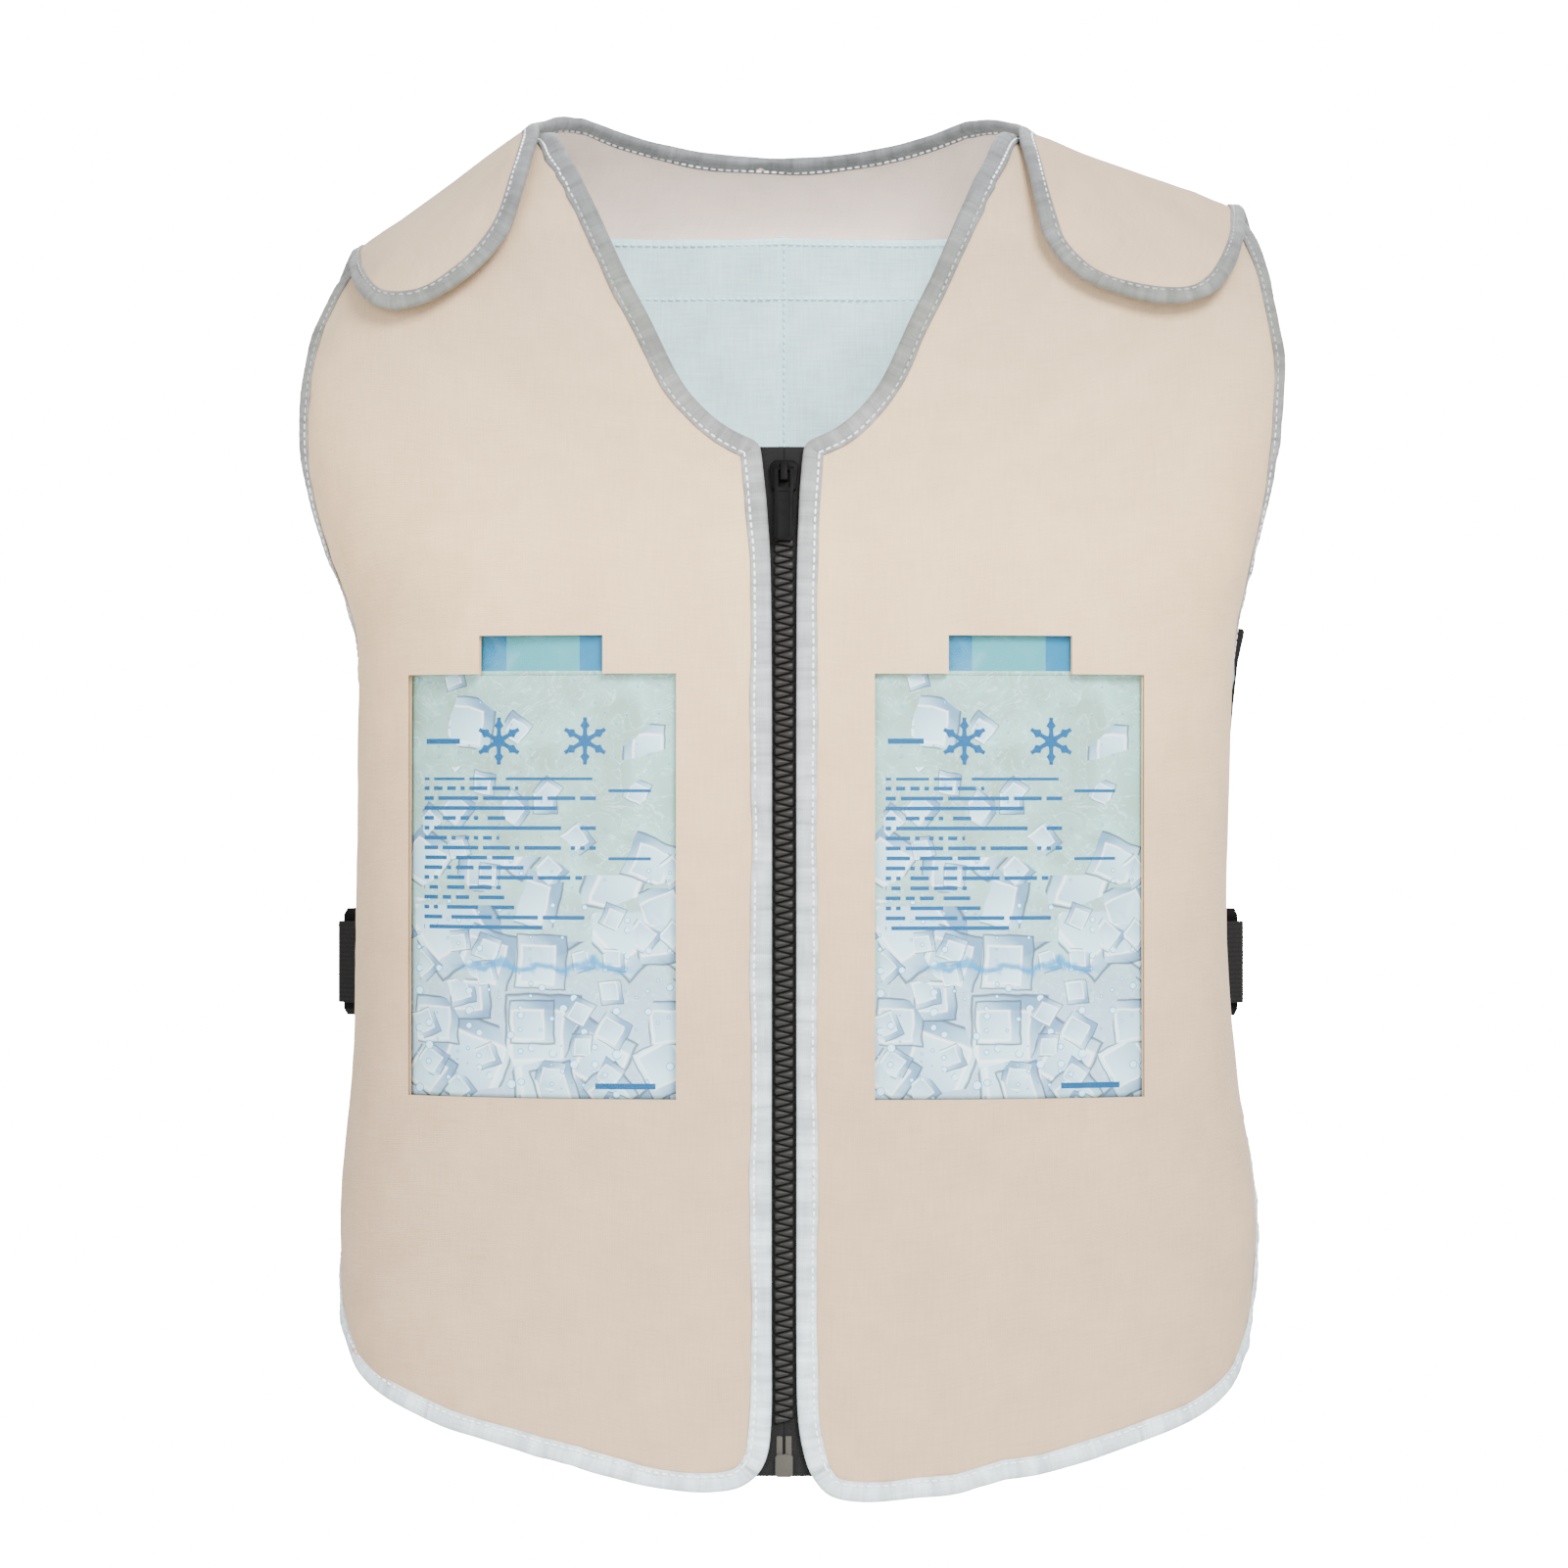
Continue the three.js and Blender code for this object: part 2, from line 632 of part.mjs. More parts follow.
// Solids for cutting and joining
function solid(geometry, matrix) {
  const bare = geometry.clone();
  bare.deleteAttribute("normal");
  bare.deleteAttribute("uv");
  if (matrix) bare.applyMatrix4(matrix);
  const merged = mergeVertices(bare, 1e-4);
  return new wasm.Manifold(
    new wasm.Mesh({
      numProp: 3,
      vertProperties: merged.attributes.position.array,
      triVerts: new Uint32Array(merged.index.array),
    }),
  );
}

function solidGeometry(made) {
  const { vertProperties, triVerts } = made.getMesh();
  const geometry = new THREE.BufferGeometry();
  geometry.setAttribute("position", new THREE.BufferAttribute(vertProperties, 3));
  geometry.setIndex(new THREE.BufferAttribute(triVerts, 1));
  return geometry;
}

// A block between two corners
function block(low, high) {
  const size = high.map((value, k) => value - low[k]);
  const centre = high.map((value, k) => (value + low[k]) / 2);
  return solid(new THREE.BoxGeometry(...size), new THREE.Matrix4().makeTranslation(...centre));
}

// A flat outline given thickness from one height to another
function plate(outline, low, high) {
  const shape = new THREE.Shape(outline.map(([x, y]) => new THREE.Vector2(x, y)));
  const geometry = new THREE.ExtrudeGeometry(shape, { depth: high - low, bevelEnabled: false, curveSegments: 1 });
  return solid(geometry, new THREE.Matrix4().makeTranslation(0, 0, low));
}

// An oblong centred on the origin with its corners cut off
function cutCorners(halfLength, halfWidth, corner) {
  return [
    [-halfLength + corner, -halfWidth],
    [halfLength - corner, -halfWidth],
    [halfLength, -halfWidth + corner],
    [halfLength, halfWidth - corner],
    [halfLength - corner, halfWidth],
    [-halfLength + corner, halfWidth],
    [-halfLength, halfWidth - corner],
    [-halfLength, -halfWidth + corner],
  ];
}

// Places along the shoulder line from a share of the way out to its tip
function crestPlaces(side, count, from, onBack = false) {
  return Array.from({ length: count + 1 }, (_, i) => {
    const x = sideSign(side) * share(NECK_HALF_WIDTH[side], SHOULDERS[side].reach, share(from, 1, i / count));
    return placeAt(x, crestHeight(x), onBack);
  });
}

// Fronts
const zipHalfOpening = (side, z) => ZIP_OPENING * (0.5 + readTable(ZIP_FLARE, "down", side, -z / BODY_LENGTH));
const zipTopZ = -NECK_DEPTH_FRONT;

function frontPlaces(side) {
  const sign = sideSign(side);
  const hem = FRONT_HEM[side];
  const hemStart = -hem[0].down * BODY_LENGTH;
  const zipHeights = [hemStart, -0.97 * BODY_LENGTH, -0.94 * BODY_LENGTH, -0.88 * BODY_LENGTH];
  const straight = 5;
  for (let i = 1; i <= straight; i++) zipHeights.push(share(zipHeights[3], zipTopZ * 1.3, i / straight));
  zipHeights.push(zipTopZ * 1.1, zipTopZ);
  const zipEdge = zipHeights.map((z) => placeAt(sign * zipHalfOpening(side, z), z));
  const neckHalf = sign * NECK_HALF_WIDTH[side];
  const neckline = NECKLINE.map(({ out, down }) => placeAt(out * neckHalf, -down * NECK_DEPTH_FRONT));
  const hemEdge = [
    zipEdge[0],
    ...hem.slice(1).map(({ out, down }) => placeAt(sign * out * CHEST_HALF_WIDTH, -down * BODY_LENGTH)),
  ];
  const sideEdge = FRONT_SIDE[side].map(({ turn, down }) => placeTurned(sign * turn * RADIANS, -down * BODY_LENGTH));
  const hemCorner = hemEdge[hemEdge.length - 1];
  const { across, zip, neck } = CELLS.front;
  const upper = crestPlaces(side, across, 0);
  const lower = spacedPlaces(hemEdge, across);
  const outer = spacedPlaces([hemCorner, ...sideEdge.slice(1), upper[across]], zip + neck, (t) => t);
  const inner = [...spacedPlaces(zipEdge, zip), ...spacedPlaces([zipEdge[zipEdge.length - 1], ...neckline.slice(1)], neck).slice(1)];
  return { lower, outer, upper, inner, hand: sign, isBound: () => true, lift: () => 0 };
}

// Back
const shoulderLift = ({ run }) => {
  const t = Math.min(Math.max(run / FLAP_LIFT_RUN, 0), 1);
  return FLAP_LIFT * (1 - t * t * (3 - 2 * t));
};

function backPlaces() {
  const { crest, neck, along } = CELLS.back;
  const around = (sign, degrees) => (sign > 0 ? degrees : 360 - degrees) * RADIANS;
  const crestEdge = (side) => crestPlaces(side, crest, 0, true).reverse().map(({ turn }) => ({ turn, run: GAP / 2 }));
  const sideEdge = (sign) => [
    ...BACK_SIDE.map(({ turn, down }) => placeTurned(around(sign, turn), -down * BODY_LENGTH)),
    crestEdge(sign > 0 ? "left" : "right")[0],
  ];
  const hemHalf = (sign) => BACK_HEM.map(({ turn, down }) => placeTurned(around(sign, turn), -down * BODY_LENGTH));
  const neckHalf = (sign) => {
    const half = sign * NECK_HALF_WIDTH[sign > 0 ? "left" : "right"];
    return BACK_NECKLINE.map(({ out, down }) => placeAt(out * half, -down * NECK_DEPTH_BACK, true));
  };
  const lower = spacedPlaces([...hemHalf(1), ...hemHalf(-1).reverse().slice(1)], 2 * crest + neck);
  const neckEdge = spacedPlaces([...neckHalf(1).reverse(), ...neckHalf(-1).slice(1)], neck);
  const upper = [...crestEdge("left"), ...neckEdge.slice(1, -1), ...crestEdge("right").reverse()];
  const edge = (sign) => [
    lower[sign > 0 ? 0 : lower.length - 1],
    ...spacedPlaces([lower[sign > 0 ? 0 : lower.length - 1], ...sideEdge(sign)], along, bunchedBy(CELLS.sideBunching)).slice(1),
  ];
  const across = 2 * crest + neck;
  const isBound = (i) => {
    const alongUpper = i - across - along;
    if (alongUpper <= 0 || alongUpper >= across) return true;
    return alongUpper >= crest && alongUpper <= crest + neck;
  };
  return { lower, outer: edge(-1), upper, inner: edge(1), hand: 1, isBound, lift: shoulderLift };
}

// Shoulder flaps
function flapPlaces(side) {
  const sign = sideSign(side);
  const { reach, flapLength } = SHOULDERS[side];
  const { inner: innerCells, lower: lowerCells } = CELLS.flap;
  const edgePlaces = (rows) =>
    rows.map(({ out, run }) => {
      const x = sign * share(NECK_HALF_WIDTH[side], reach, out);
      const place = placeAt(x, crestHeight(x) - dropOf(run * flapLength));
      return { turn: place.turn, run: Math.max(place.run, GAP / 2) };
    });
  const inner = spacedPlaces(edgePlaces(FLAP_EDGE.inner), innerCells, (t) => t).reverse();
  const outer = spacedPlaces(edgePlaces(FLAP_EDGE.outer), innerCells, (t) => t);
  const lower = spacedPlaces(edgePlaces(FLAP_EDGE.lower), lowerCells, (t) => t);
  const upper = crestPlaces(side, lowerCells, FLAP_EDGE.inner[0].out).map(({ turn }) => ({ turn, run: GAP / 2 }));
  const isBound = (i) => i <= lowerCells + innerCells || i >= 2 * lowerCells + innerCells;
  return { lower, outer, upper, inner, hand: sign, isBound, lift: () => FLAP_LIFT };
}

// The zip's own line: down the middle of the front, set back behind the bindings
const zipLift = -(BINDING_OUTER + TAPE_SETBACK + TAPE_THICKNESS / 2);
const zipBottomZ = -FRONT_HEM.left[0].down * BODY_LENGTH + ZIP_BOTTOM_RISE - BOX.length;
const zipProfile = new THREE.CatmullRomCurve3(
  Array.from({ length: 25 }, (_, i) => {
    const z = share(zipTopZ, -BODY_LENGTH, i / 24);
    return surfacePoint(0, runOf(crestHeight(0) - z));
  }),
);
const zipLength = zipProfile.getLength();

// A point beside the zip: x across, down along it from the neckline's height, out in front of its tapes
function zipPoint(x, down, out) {
  const at = Math.min(Math.max(down / zipLength, 0), 1);
  const tangent = zipProfile.getTangentAt(at);
  const outward = new THREE.Vector3(0, tangent.z, -tangent.y).normalize();
  const point = zipProfile.getPointAt(at).addScaledVector(tangent, down - at * zipLength);
  point.addScaledVector(outward, zipLift + out);
  point.x += x;
  return point;
}

// How far down the zip a height is
function downTo(z) {
  let down = zipTopZ - z;
  for (let pass = 0; pass < 8; pass++) down += zipPoint(0, down, 0).z - z;
  return down;
}

const zipEnd = (zipTopZ - zipBottomZ) * (zipLength / (zipTopZ + BODY_LENGTH));
const chainStart = ZIP_TOP_DROP + SLIDER.postLength + 0.8;
const chainEnd = zipEnd - BOX.length - (PIN.length - PIN.entry) - 0.6;
const teeth = Math.floor((chainEnd - chainStart) / TOOTH_PITCH - 0.5);

// The tapes bend where the fronts' zip edges do
const zipStations = [
  1,
  ...frontPlaces("left")
    .inner.slice(1, CELLS.front.zip)
    .reverse()
    .map(({ turn, run }) => downTo(surfacePoint(turn, run).z)),
  zipEnd,
];

// One side's teeth on their spine. The two sides' teeth taper alike, so they mesh with an even gap.
function chainGeometry(side) {
  const sign = sideSign(side);
  const rootX = CHAIN_HALF_WIDTH - SPINE_WIDTH;
  const middleWidth = TOOTH_PITCH / 2 - TOOTH_GAP;
  const rootHalf = middleWidth * 0.78;
  const tipHalf = middleWidth - rootHalf;
  const outline = [];
  const cells = [];
  const point = (x, down) => outline.push([sign * x, down]) - 1;
  const phase = side === "left" ? 0 : TOOTH_PITCH / 2;
  let before = null;
  for (let i = 0; i < teeth; i++) {
    const down = chainStart + (i + 0.5) * TOOTH_PITCH + phase;
    const heel = i % 4 ? before.heel : point(CHAIN_HALF_WIDTH, down);
    const rootAbove = point(rootX, down - rootHalf);
    const rootBelow = point(rootX, down + rootHalf);
    const tipAbove = point(-TOOTH_OVERLAP, down - tipHalf);
    const tipBelow = point(-TOOTH_OVERLAP, down + tipHalf);
    cells.push([heel, rootAbove, rootBelow], [rootAbove, tipAbove, tipBelow, rootBelow]);
    if (before && before.heel === heel) cells.push([heel, before.rootBelow, rootAbove]);
    if (before && before.heel !== heel) cells.push([before.heel, before.rootBelow, rootAbove, heel]);
    before = { heel, rootBelow };
  }
  const face = (out) => outline.map(([x, down]) => zipPoint(x, down, out));
  return wallGeometry(face(TOOTH_THICKNESS / 2), face(-TOOTH_THICKNESS / 2), cells);
}

function tapeGeometry(side) {
  const sign = sideSign(side);
  const inner = CHAIN_HALF_WIDTH + GAP;
  const outline = [];
  const cells = [];
  zipStations.forEach((down, i) => {
    outline.push([sign * inner, down], [sign * (inner + TAPE_WIDTH), down]);
    if (i) cells.push([2 * i - 2, 2 * i - 1, 2 * i + 1, 2 * i]);
  });
  const face = (out) => outline.map(([x, down]) => zipPoint(x, down, out));
  return wallGeometry(face(TAPE_THICKNESS / 2), face(-TAPE_THICKNESS / 2), cells);
}

// Hard zip parts are drawn with x across, y down the zip and z out of it, and stand at a point of the zip
function standAtZip(mesh, down) {
  const above = zipPoint(0, down, 0);
  const below = zipPoint(0, down + 1, 0);
  const outward = zipPoint(0, down, 1).sub(above);
  const downward = below.sub(above).normalize();
  const across = new THREE.Vector3().crossVectors(downward, outward);
  mesh.position.copy(above);
  mesh.quaternion.setFromRotationMatrix(new THREE.Matrix4().makeBasis(across, downward, outward));
  return mesh;
}

const sliderFace = TOOTH_THICKNESS / 2 + GAP + SLIDER.plate;
const pivotOut = sliderFace + BRIDGE.clear / 2;
const pivotDown = BRIDGE.start + BRIDGE.leg + 1.6;

function sliderGeometry() {
  const { width, foot, length, plate: wall, post, postLength, tapeSlot } = SLIDER;
  const shoulder = 5;
  const outline = [
    [-width / 2 + 2, 0],
    [width / 2 - 2, 0],
    [width / 2, 1.8],
    [width / 2, shoulder],
    [foot / 2, length - 1],
    [foot / 2 - 1, length],
    [-foot / 2 + 1, length],
    [-foot / 2, length - 1],
    [-width / 2, shoulder],
    [-width / 2, 1.8],
  ];
  const channel = TOOTH_THICKNESS / 2 + GAP;
  const channelHalf = CHAIN_HALF_WIDTH + GAP;
  const side = width;
  const { width: bridge, start, length: span, leg, clear, roof } = BRIDGE;
  const arch = block([-bridge / 2, start, sliderFace - wall / 2], [bridge / 2, start + span, sliderFace + clear + roof]);
  const underArch = block([-bridge, start + leg, sliderFace], [bridge, start + span - leg, sliderFace + clear]);
  const made = plate(outline, -channel - wall, channel + wall)
    .subtract(block([-channelHalf, postLength, -channel], [channelHalf, length + 1, channel]))
    .subtract(block([post / 2, -1, -channel], [channelHalf, postLength + 0.1, channel]))
    .subtract(block([-channelHalf, -1, -channel], [-post / 2, postLength + 0.1, channel]))
    .subtract(block([channelHalf - 0.1, -1, -tapeSlot / 2], [side, length + 1, tapeSlot / 2]))
    .subtract(block([-side, -1, -tapeSlot / 2], [-channelHalf + 0.1, length + 1, tapeSlot / 2]))
    .add(arch)
    .subtract(underArch);
  return solidGeometry(made);
}

function pullGeometry() {
  const { width, length, thickness, pivotRadius, window, windowLength } = PULL;
  const half = width / 2;
  const outline = [
    [-half, 0],
    [half, 0],
    [half * 0.92, length * 0.5],
    [half * 0.96, length - 3],
    [half * 0.96 - 1.5, length - 1.1],
    [-half * 0.96 + 1.5, length - 1.1],
    [-half * 0.96, length - 3],
    [-half * 0.92, length * 0.5],
  ];
  const turnBar = new THREE.Matrix4().makeRotationZ(Math.PI / 2);
  const bar = solid(new THREE.CylinderGeometry(pivotRadius, pivotRadius, width, 8), turnBar);
  const { margin, depth } = PULL_PANEL;
  const panelTop = pivotRadius + windowLength + margin;
  const panel = block(
    [-half * 0.92 + margin, panelTop, thickness / 2 - depth],
    [half * 0.92 - margin, length - 1.1 - margin, thickness],
  );
  const made = plate(outline, -thickness / 2, thickness / 2)
    .subtract(block([-window / 2, pivotRadius - 0.6, -thickness], [window / 2, pivotRadius + windowLength, thickness]))
    .add(bar)
    .subtract(panel);
  return solidGeometry(made);
}

const pinX = 2;

function boxGeometry() {
  const { width, length, thickness } = BOX;
  const outline = cutCorners(width / 2, length / 2, 1).map(([x, y]) => [x, y + length / 2]);
  const socketHalf = PIN.width / 2 + GAP;
  const made = plate(outline, -thickness / 2, thickness / 2)
    .subtract(
      block(
        [pinX - socketHalf, -1, -PIN.thickness / 2 - GAP],
        [pinX + socketHalf, PIN.entry + GAP, PIN.thickness / 2 + GAP],
      ),
    )
    .add(block([-pinX - PIN.width / 2, PIN.entry - PIN.length, -PIN.thickness / 2], [-pinX + PIN.width / 2, 1, PIN.thickness / 2]));
  return solidGeometry(made);
}

function pinGeometry() {
  const outline = cutCorners(PIN.width / 2, PIN.length / 2, 0.6).map(([x, y]) => [
    x + pinX,
    y + PIN.entry - PIN.length / 2,
  ]);
  return solidGeometry(plate(outline, -PIN.thickness / 2, PIN.thickness / 2));
}

// How far off the form some bodies are at a place: their outermost face, or from inside their innermost
function liftOnto(bodies, place, fromInside) {
  const start = liftedPoint(place, fromInside ? -REACH_OF_RAY : REACH_OF_RAY);
  const way = outwardAt(place).multiplyScalar(fromInside ? 1 : -1);
  const hit = new THREE.Raycaster(start, way).intersectObjects(bodies)[0];
  if (!hit || hit.distance > REACH_OF_RAY + DEEPEST_FOLD) return fromInside ? -BINDING_OUTER : BINDING_OUTER;
  return fromInside ? hit.distance - REACH_OF_RAY : REACH_OF_RAY - hit.distance;
}

// The angle from the middle of the front at which the edge of a panel passes a height
function edgeTurnAt(edge, z) {
  const heights = edge.map(({ turn, run }) => surfacePoint(turn, run).z);
  const i = heights.findIndex((height) => height > z);
  const turn = share(edge[i - 1].turn, edge[i].turn, (z - heights[i - 1]) / (heights[i] - heights[i - 1]));
  return Math.min(Math.abs(turn), 2 * Math.PI - Math.abs(turn)) / RADIANS;
}

const backEdgeOf = (side) => backPlaces()[side === "left" ? "inner" : "outer"];

// Side straps, which are tucked under the edges of the front and of the back and sewn there
function upperStrapGeometry(side, bodies) {
  const sign = sideSign(side);
  const { width, thickness, height, tucked } = STRAP;
  const bow = side === "left" ? STRAP.bowLeft : STRAP.bowRight;
  const free = [false, false, false, 0.6, 1, 0.6, false, false, false];
  const rows = [0.5, 0.17, -0.17, -0.5];
  const grid = rows.map((row) => {
    const z = height + row * width;
    const fromFront = edgeTurnAt(frontPlaces(side).outer, z);
    const fromBack = edgeTurnAt(backEdgeOf(side), z);
    const turns = [
      fromFront - tucked,
      fromFront - tucked * 0.45,
      fromFront + 1.2,
      fromFront + 3.4,
      (fromFront + fromBack) / 2,
      fromBack - 4.5,
      fromBack - 1.6,
      fromBack + tucked * 0.45,
      fromBack + tucked,
    ];
    return turns.map((turn) => placeTurned(sign * turn * RADIANS, z));
  });
  const outer = (i, j, place) =>
    free[i] ? thickness / 2 + bow * free[i] : liftOnto(bodies, place, true) - GAP - TUCK_SLACK;
  return gridWall(grid, outer, (i, j, place) => outer(i, j, place) - thickness);
}

// A buckle's middle at the form's side, with its own axes: along it towards the back, across it, and outwards
function buckleFrame(side) {
  const sign = sideSign(side);
  const edge = edgeTurnAt(frontPlaces(side).outer, WEBBING.height) * RADIANS;
  const place = placeTurned(sign * (edge + BUCKLE.behindEdge / CHEST_HALF_WIDTH), WEBBING.height);
  const outward = outwardAt(place).setZ(0).normalize();
  const along = new THREE.Vector3(0, 0, 1).cross(outward).multiplyScalar(sign);
  const across = new THREE.Vector3().crossVectors(outward, along);
  const centre = surfacePoint(place.turn, place.run).addScaledVector(outward, BUCKLE.lift);
  centre.z = WEBBING.height;
  return new THREE.Matrix4().makeBasis(along, across, outward).setPosition(centre);
}

const buckleSplit = -BUCKLE.length / 2 + BUCKLE_SLOT.bar * 2 + BUCKLE_SLOT.length;
const socketLength = BUCKLE.length / 2 - buckleSplit - GAP;

function slotCut(barSide, towards) {
  const near = barSide + towards * BUCKLE_SLOT.bar;
  const far = near + towards * BUCKLE_SLOT.length;
  return block(
    [Math.min(near, far), -BUCKLE_SLOT.width / 2, -BUCKLE.thickness],
    [Math.max(near, far), BUCKLE_SLOT.width / 2, BUCKLE.thickness],
  );
}

function socketGeometry() {
  const { width, length, thickness, wall, cavity } = BUCKLE;
  const start = buckleSplit + GAP;
  const outline = cutCorners(socketLength / 2, width / 2, 4).map(([x, y]) => [x + start + socketLength / 2, y]);
  const windowStart = start + cavity - PRONG.window - 3;
  const made = plate(outline, -thickness / 2, thickness / 2)
    .subtract(block([start - 1, -width / 2 + wall + 2, -thickness / 2 + wall], [start + cavity, width / 2 - wall - 2, thickness / 2 - wall]))
    .subtract(block([windowStart, -width, -thickness / 2 + wall], [windowStart + PRONG.window, width, thickness / 2 - wall]))
    .subtract(slotCut(length / 2, -1));
  return solidGeometry(made);
}

function plugGeometry() {
  const { width, length, wall, cavity } = BUCKLE;
  const baseStart = -length / 2;
  const baseLength = buckleSplit - baseStart;
  const baseHalf = width / 2 - 3;
  const outline = cutCorners(baseLength / 2, baseHalf, 3).map(([x, y]) => [x + baseStart + baseLength / 2, y]);
  const outer = width / 2 - wall - 2 - 2 * GAP;
  const reachIn = buckleSplit + cavity - 1.5;
  const lugStart = buckleSplit + GAP + cavity - PRONG.window - 3 + 2 * GAP;
  const prong = (sign) =>
    plate(
      [
        [buckleSplit - 1, sign * (outer - PRONG.width)],
        [reachIn - 4, sign * (outer - PRONG.width)],
        [reachIn, sign * (outer - PRONG.width / 2)],
        [reachIn - 5, sign * (outer + 0)],
        [lugStart + 4, sign * (outer + PRONG.shoulder)],
        [lugStart, sign * (outer + PRONG.shoulder)],
        [lugStart, sign * (outer - 2)],
        [buckleSplit - 1, sign * (outer - 2)],
      ],
      -PRONG.thickness / 2,
      PRONG.thickness / 2,
    );
  const made = plate(outline, -BUCKLE.thickness / 2 + 0.8, BUCKLE.thickness / 2 - 0.8)
    .subtract(slotCut(baseStart, 1))
    .add(prong(1))
    .add(prong(-1))
    .add(block([buckleSplit - 1, -3, -PRONG.thickness / 2], [reachIn - 4, 3, PRONG.thickness / 2]));
  return solidGeometry(made);
}

// A loop of webbing round a buckle's bar, with both its ends tucked under an edge of the vest. Its outline
// is drawn as seen from above, in the buckle's axes.
function webbingGeometry(side, towardsBack, bodies) {
  const sign = sideSign(side);
  const frame = buckleFrame(side);
  const inverse = frame.clone().invert();
  const way = towardsBack ? 1 : -1;
  const { thickness, width, tucked, height } = WEBBING;
  const edge = edgeTurnAt(towardsBack ? backEdgeOf(side) : frontPlaces(side).outer, height);
  const layer = thickness + GAP;
  const underEdge = (past, layers) => {
    const place = placeTurned(sign * (edge - way * past) * RADIANS, height);
    const lift = liftOnto(bodies, place, true) - GAP - TUCK_SLACK - thickness / 2 - layers * layer;
    const point = liftedPoint(place, lift).applyMatrix4(inverse);
    return new THREE.Vector2(point.x, point.z);
  };
  const barMiddle = way * (BUCKLE.length / 2 - BUCKLE_SLOT.bar / 2);
  const round = BUCKLE.thickness / 2 + GAP + thickness / 2 + 0.3;
  const beyond = BUCKLE_SLOT.bar / 2 + GAP + thickness / 2 + 0.6;
  const chamfer = 1.8;
  const atBar = (x, y) => new THREE.Vector2(barMiddle + way * x, y);
  const path = [
    underEdge(-tucked, 0),
    underEdge(-tucked / 2, 0),
    underEdge(0.9, 0),
    atBar(beyond, round - chamfer),
    atBar(beyond - chamfer, round),
    atBar(chamfer - beyond, round),
    atBar(-beyond, round - chamfer),
    atBar(-beyond, chamfer - round),
    atBar(chamfer - beyond, -round),
    atBar(beyond - chamfer, -round),
    underEdge(0.9, 1),
    underEdge(-tucked / 2, 1),
    underEdge(-tucked, 1),
  ];
  const ways = path.slice(1).map((point, i) => point.clone().sub(path[i]).normalize());
  const beside = (offset) =>
    path.map((point, i) => {
      const before = ways[Math.max(i - 1, 0)];
      const after = ways[Math.min(i, ways.length - 1)];
      const along = before.clone().add(after).normalize();
      const mitre = offset / Math.max(along.dot(after), 0.5);
      return [point.x - along.y * mitre, point.y + along.x * mitre];
    });
  const outline = [...beside(thickness / 2), ...beside(-thickness / 2).reverse()];
  const shape = new THREE.Shape(outline.map(([x, y]) => new THREE.Vector2(x, y)));
  const geometry = new THREE.ExtrudeGeometry(shape, { depth: width, bevelEnabled: false, curveSegments: 1 });
  const upright = new THREE.Matrix4().makeRotationX(Math.PI / 2).setPosition(0, width / 2, 0);
  return geometry.applyMatrix4(upright).applyMatrix4(frame);
}

// Ice packs and pockets
const packSwell = (u, v) => ((1 - Math.abs(2 * u - 1) ** 3) * (1 - Math.abs(2 * v - 1) ** 3)) ** 0.6;
const PACK_COLUMNS = [0, 0.09, 0.27, 0.5, 0.73, 0.91, 1];
const PACK_SETBACK = 0.3;
const packDepth = (swell) => PACK.seam + (PACK.thickness - PACK.seam) * swell;
const PACK_ROWS = [0, 0.06, 0.22, 0.42, 0.62, 0.8, 0.94, 1];

function packPlace(side, u, v) {
  const x = sideSign(side) * (PACK_MIDDLE[side] + PACK.width * (u - 0.5));
  return placeAt(x, PACK.top - PACK.height * v);
}

// The pack is a filled pouch whose front lies on the cloth. Its neck stands on the middle of its upper edge.
function packGeometry(side, bodies) {
  const places = [];
  const swells = [];
  const cells = [];
  const add = (u, v) => {
    places.push(packPlace(side, u, v));
    swells.push(packSwell(u, Math.max(v, 0)));
    return places.length - 1;
  };
  const numbers = PACK_ROWS.map((v) => PACK_COLUMNS.map((u) => add(u, v)));
  for (let j = 1; j < PACK_ROWS.length; j++)
    for (let i = 1; i < PACK_COLUMNS.length; i++)
      cells.push([numbers[j - 1][i - 1], numbers[j - 1][i], numbers[j][i], numbers[j][i - 1]]);
  const neckTop = [2, 3, 4].map((i) => add(PACK_COLUMNS[i], -PACK_NECK.height / PACK.height));
  neckTop.slice(1).forEach((_, k) =>
    cells.push([neckTop[k], neckTop[k + 1], numbers[0][k + 3], numbers[0][k + 2]]),
  );
  const front = places.map((place) => liftOnto(bodies, place, true) - GAP - PACK_SETBACK);
  const outer = places.map((place, k) => liftedPoint(place, front[k]));
  const inner = places.map((place, k) => liftedPoint(place, front[k] - packDepth(swells[k])));
  return wallGeometry(outer, inner, cells);
}

// The pocket hugs its pack: sewn flat at the sides and foot, open at the mouth
function frontPocketGeometry(side, bodies) {
  const marginU = FRONT_POCKET.margin / PACK.width;
  const columns = [-marginU, ...PACK_COLUMNS, 1 + marginU];
  const mouth = FRONT_POCKET.mouth / PACK.height;
  const rows = [mouth, ...PACK_ROWS.slice(2), 1 + FRONT_POCKET.below / PACK.height];
  const grid = rows.map((v) => columns.map((u) => packPlace(side, u, v)));
  const clamp = (t) => Math.min(Math.max(t, 0), 1);
  const under = (i, j, place) => {
    const sewn = i === 0 || i === columns.length - 1 || j === rows.length - 1;
    const onCloth = liftOnto(bodies, place, true) - GAP;
    const round = PACK_SETBACK + packDepth(packSwell(clamp(columns[i]), clamp(rows[j]))) + 2 * GAP;
    return sewn ? onCloth : onCloth - round;
  };
  return gridWall(grid, under, (i, j, place) => under(i, j, place) - POCKET_CLOTH);
}

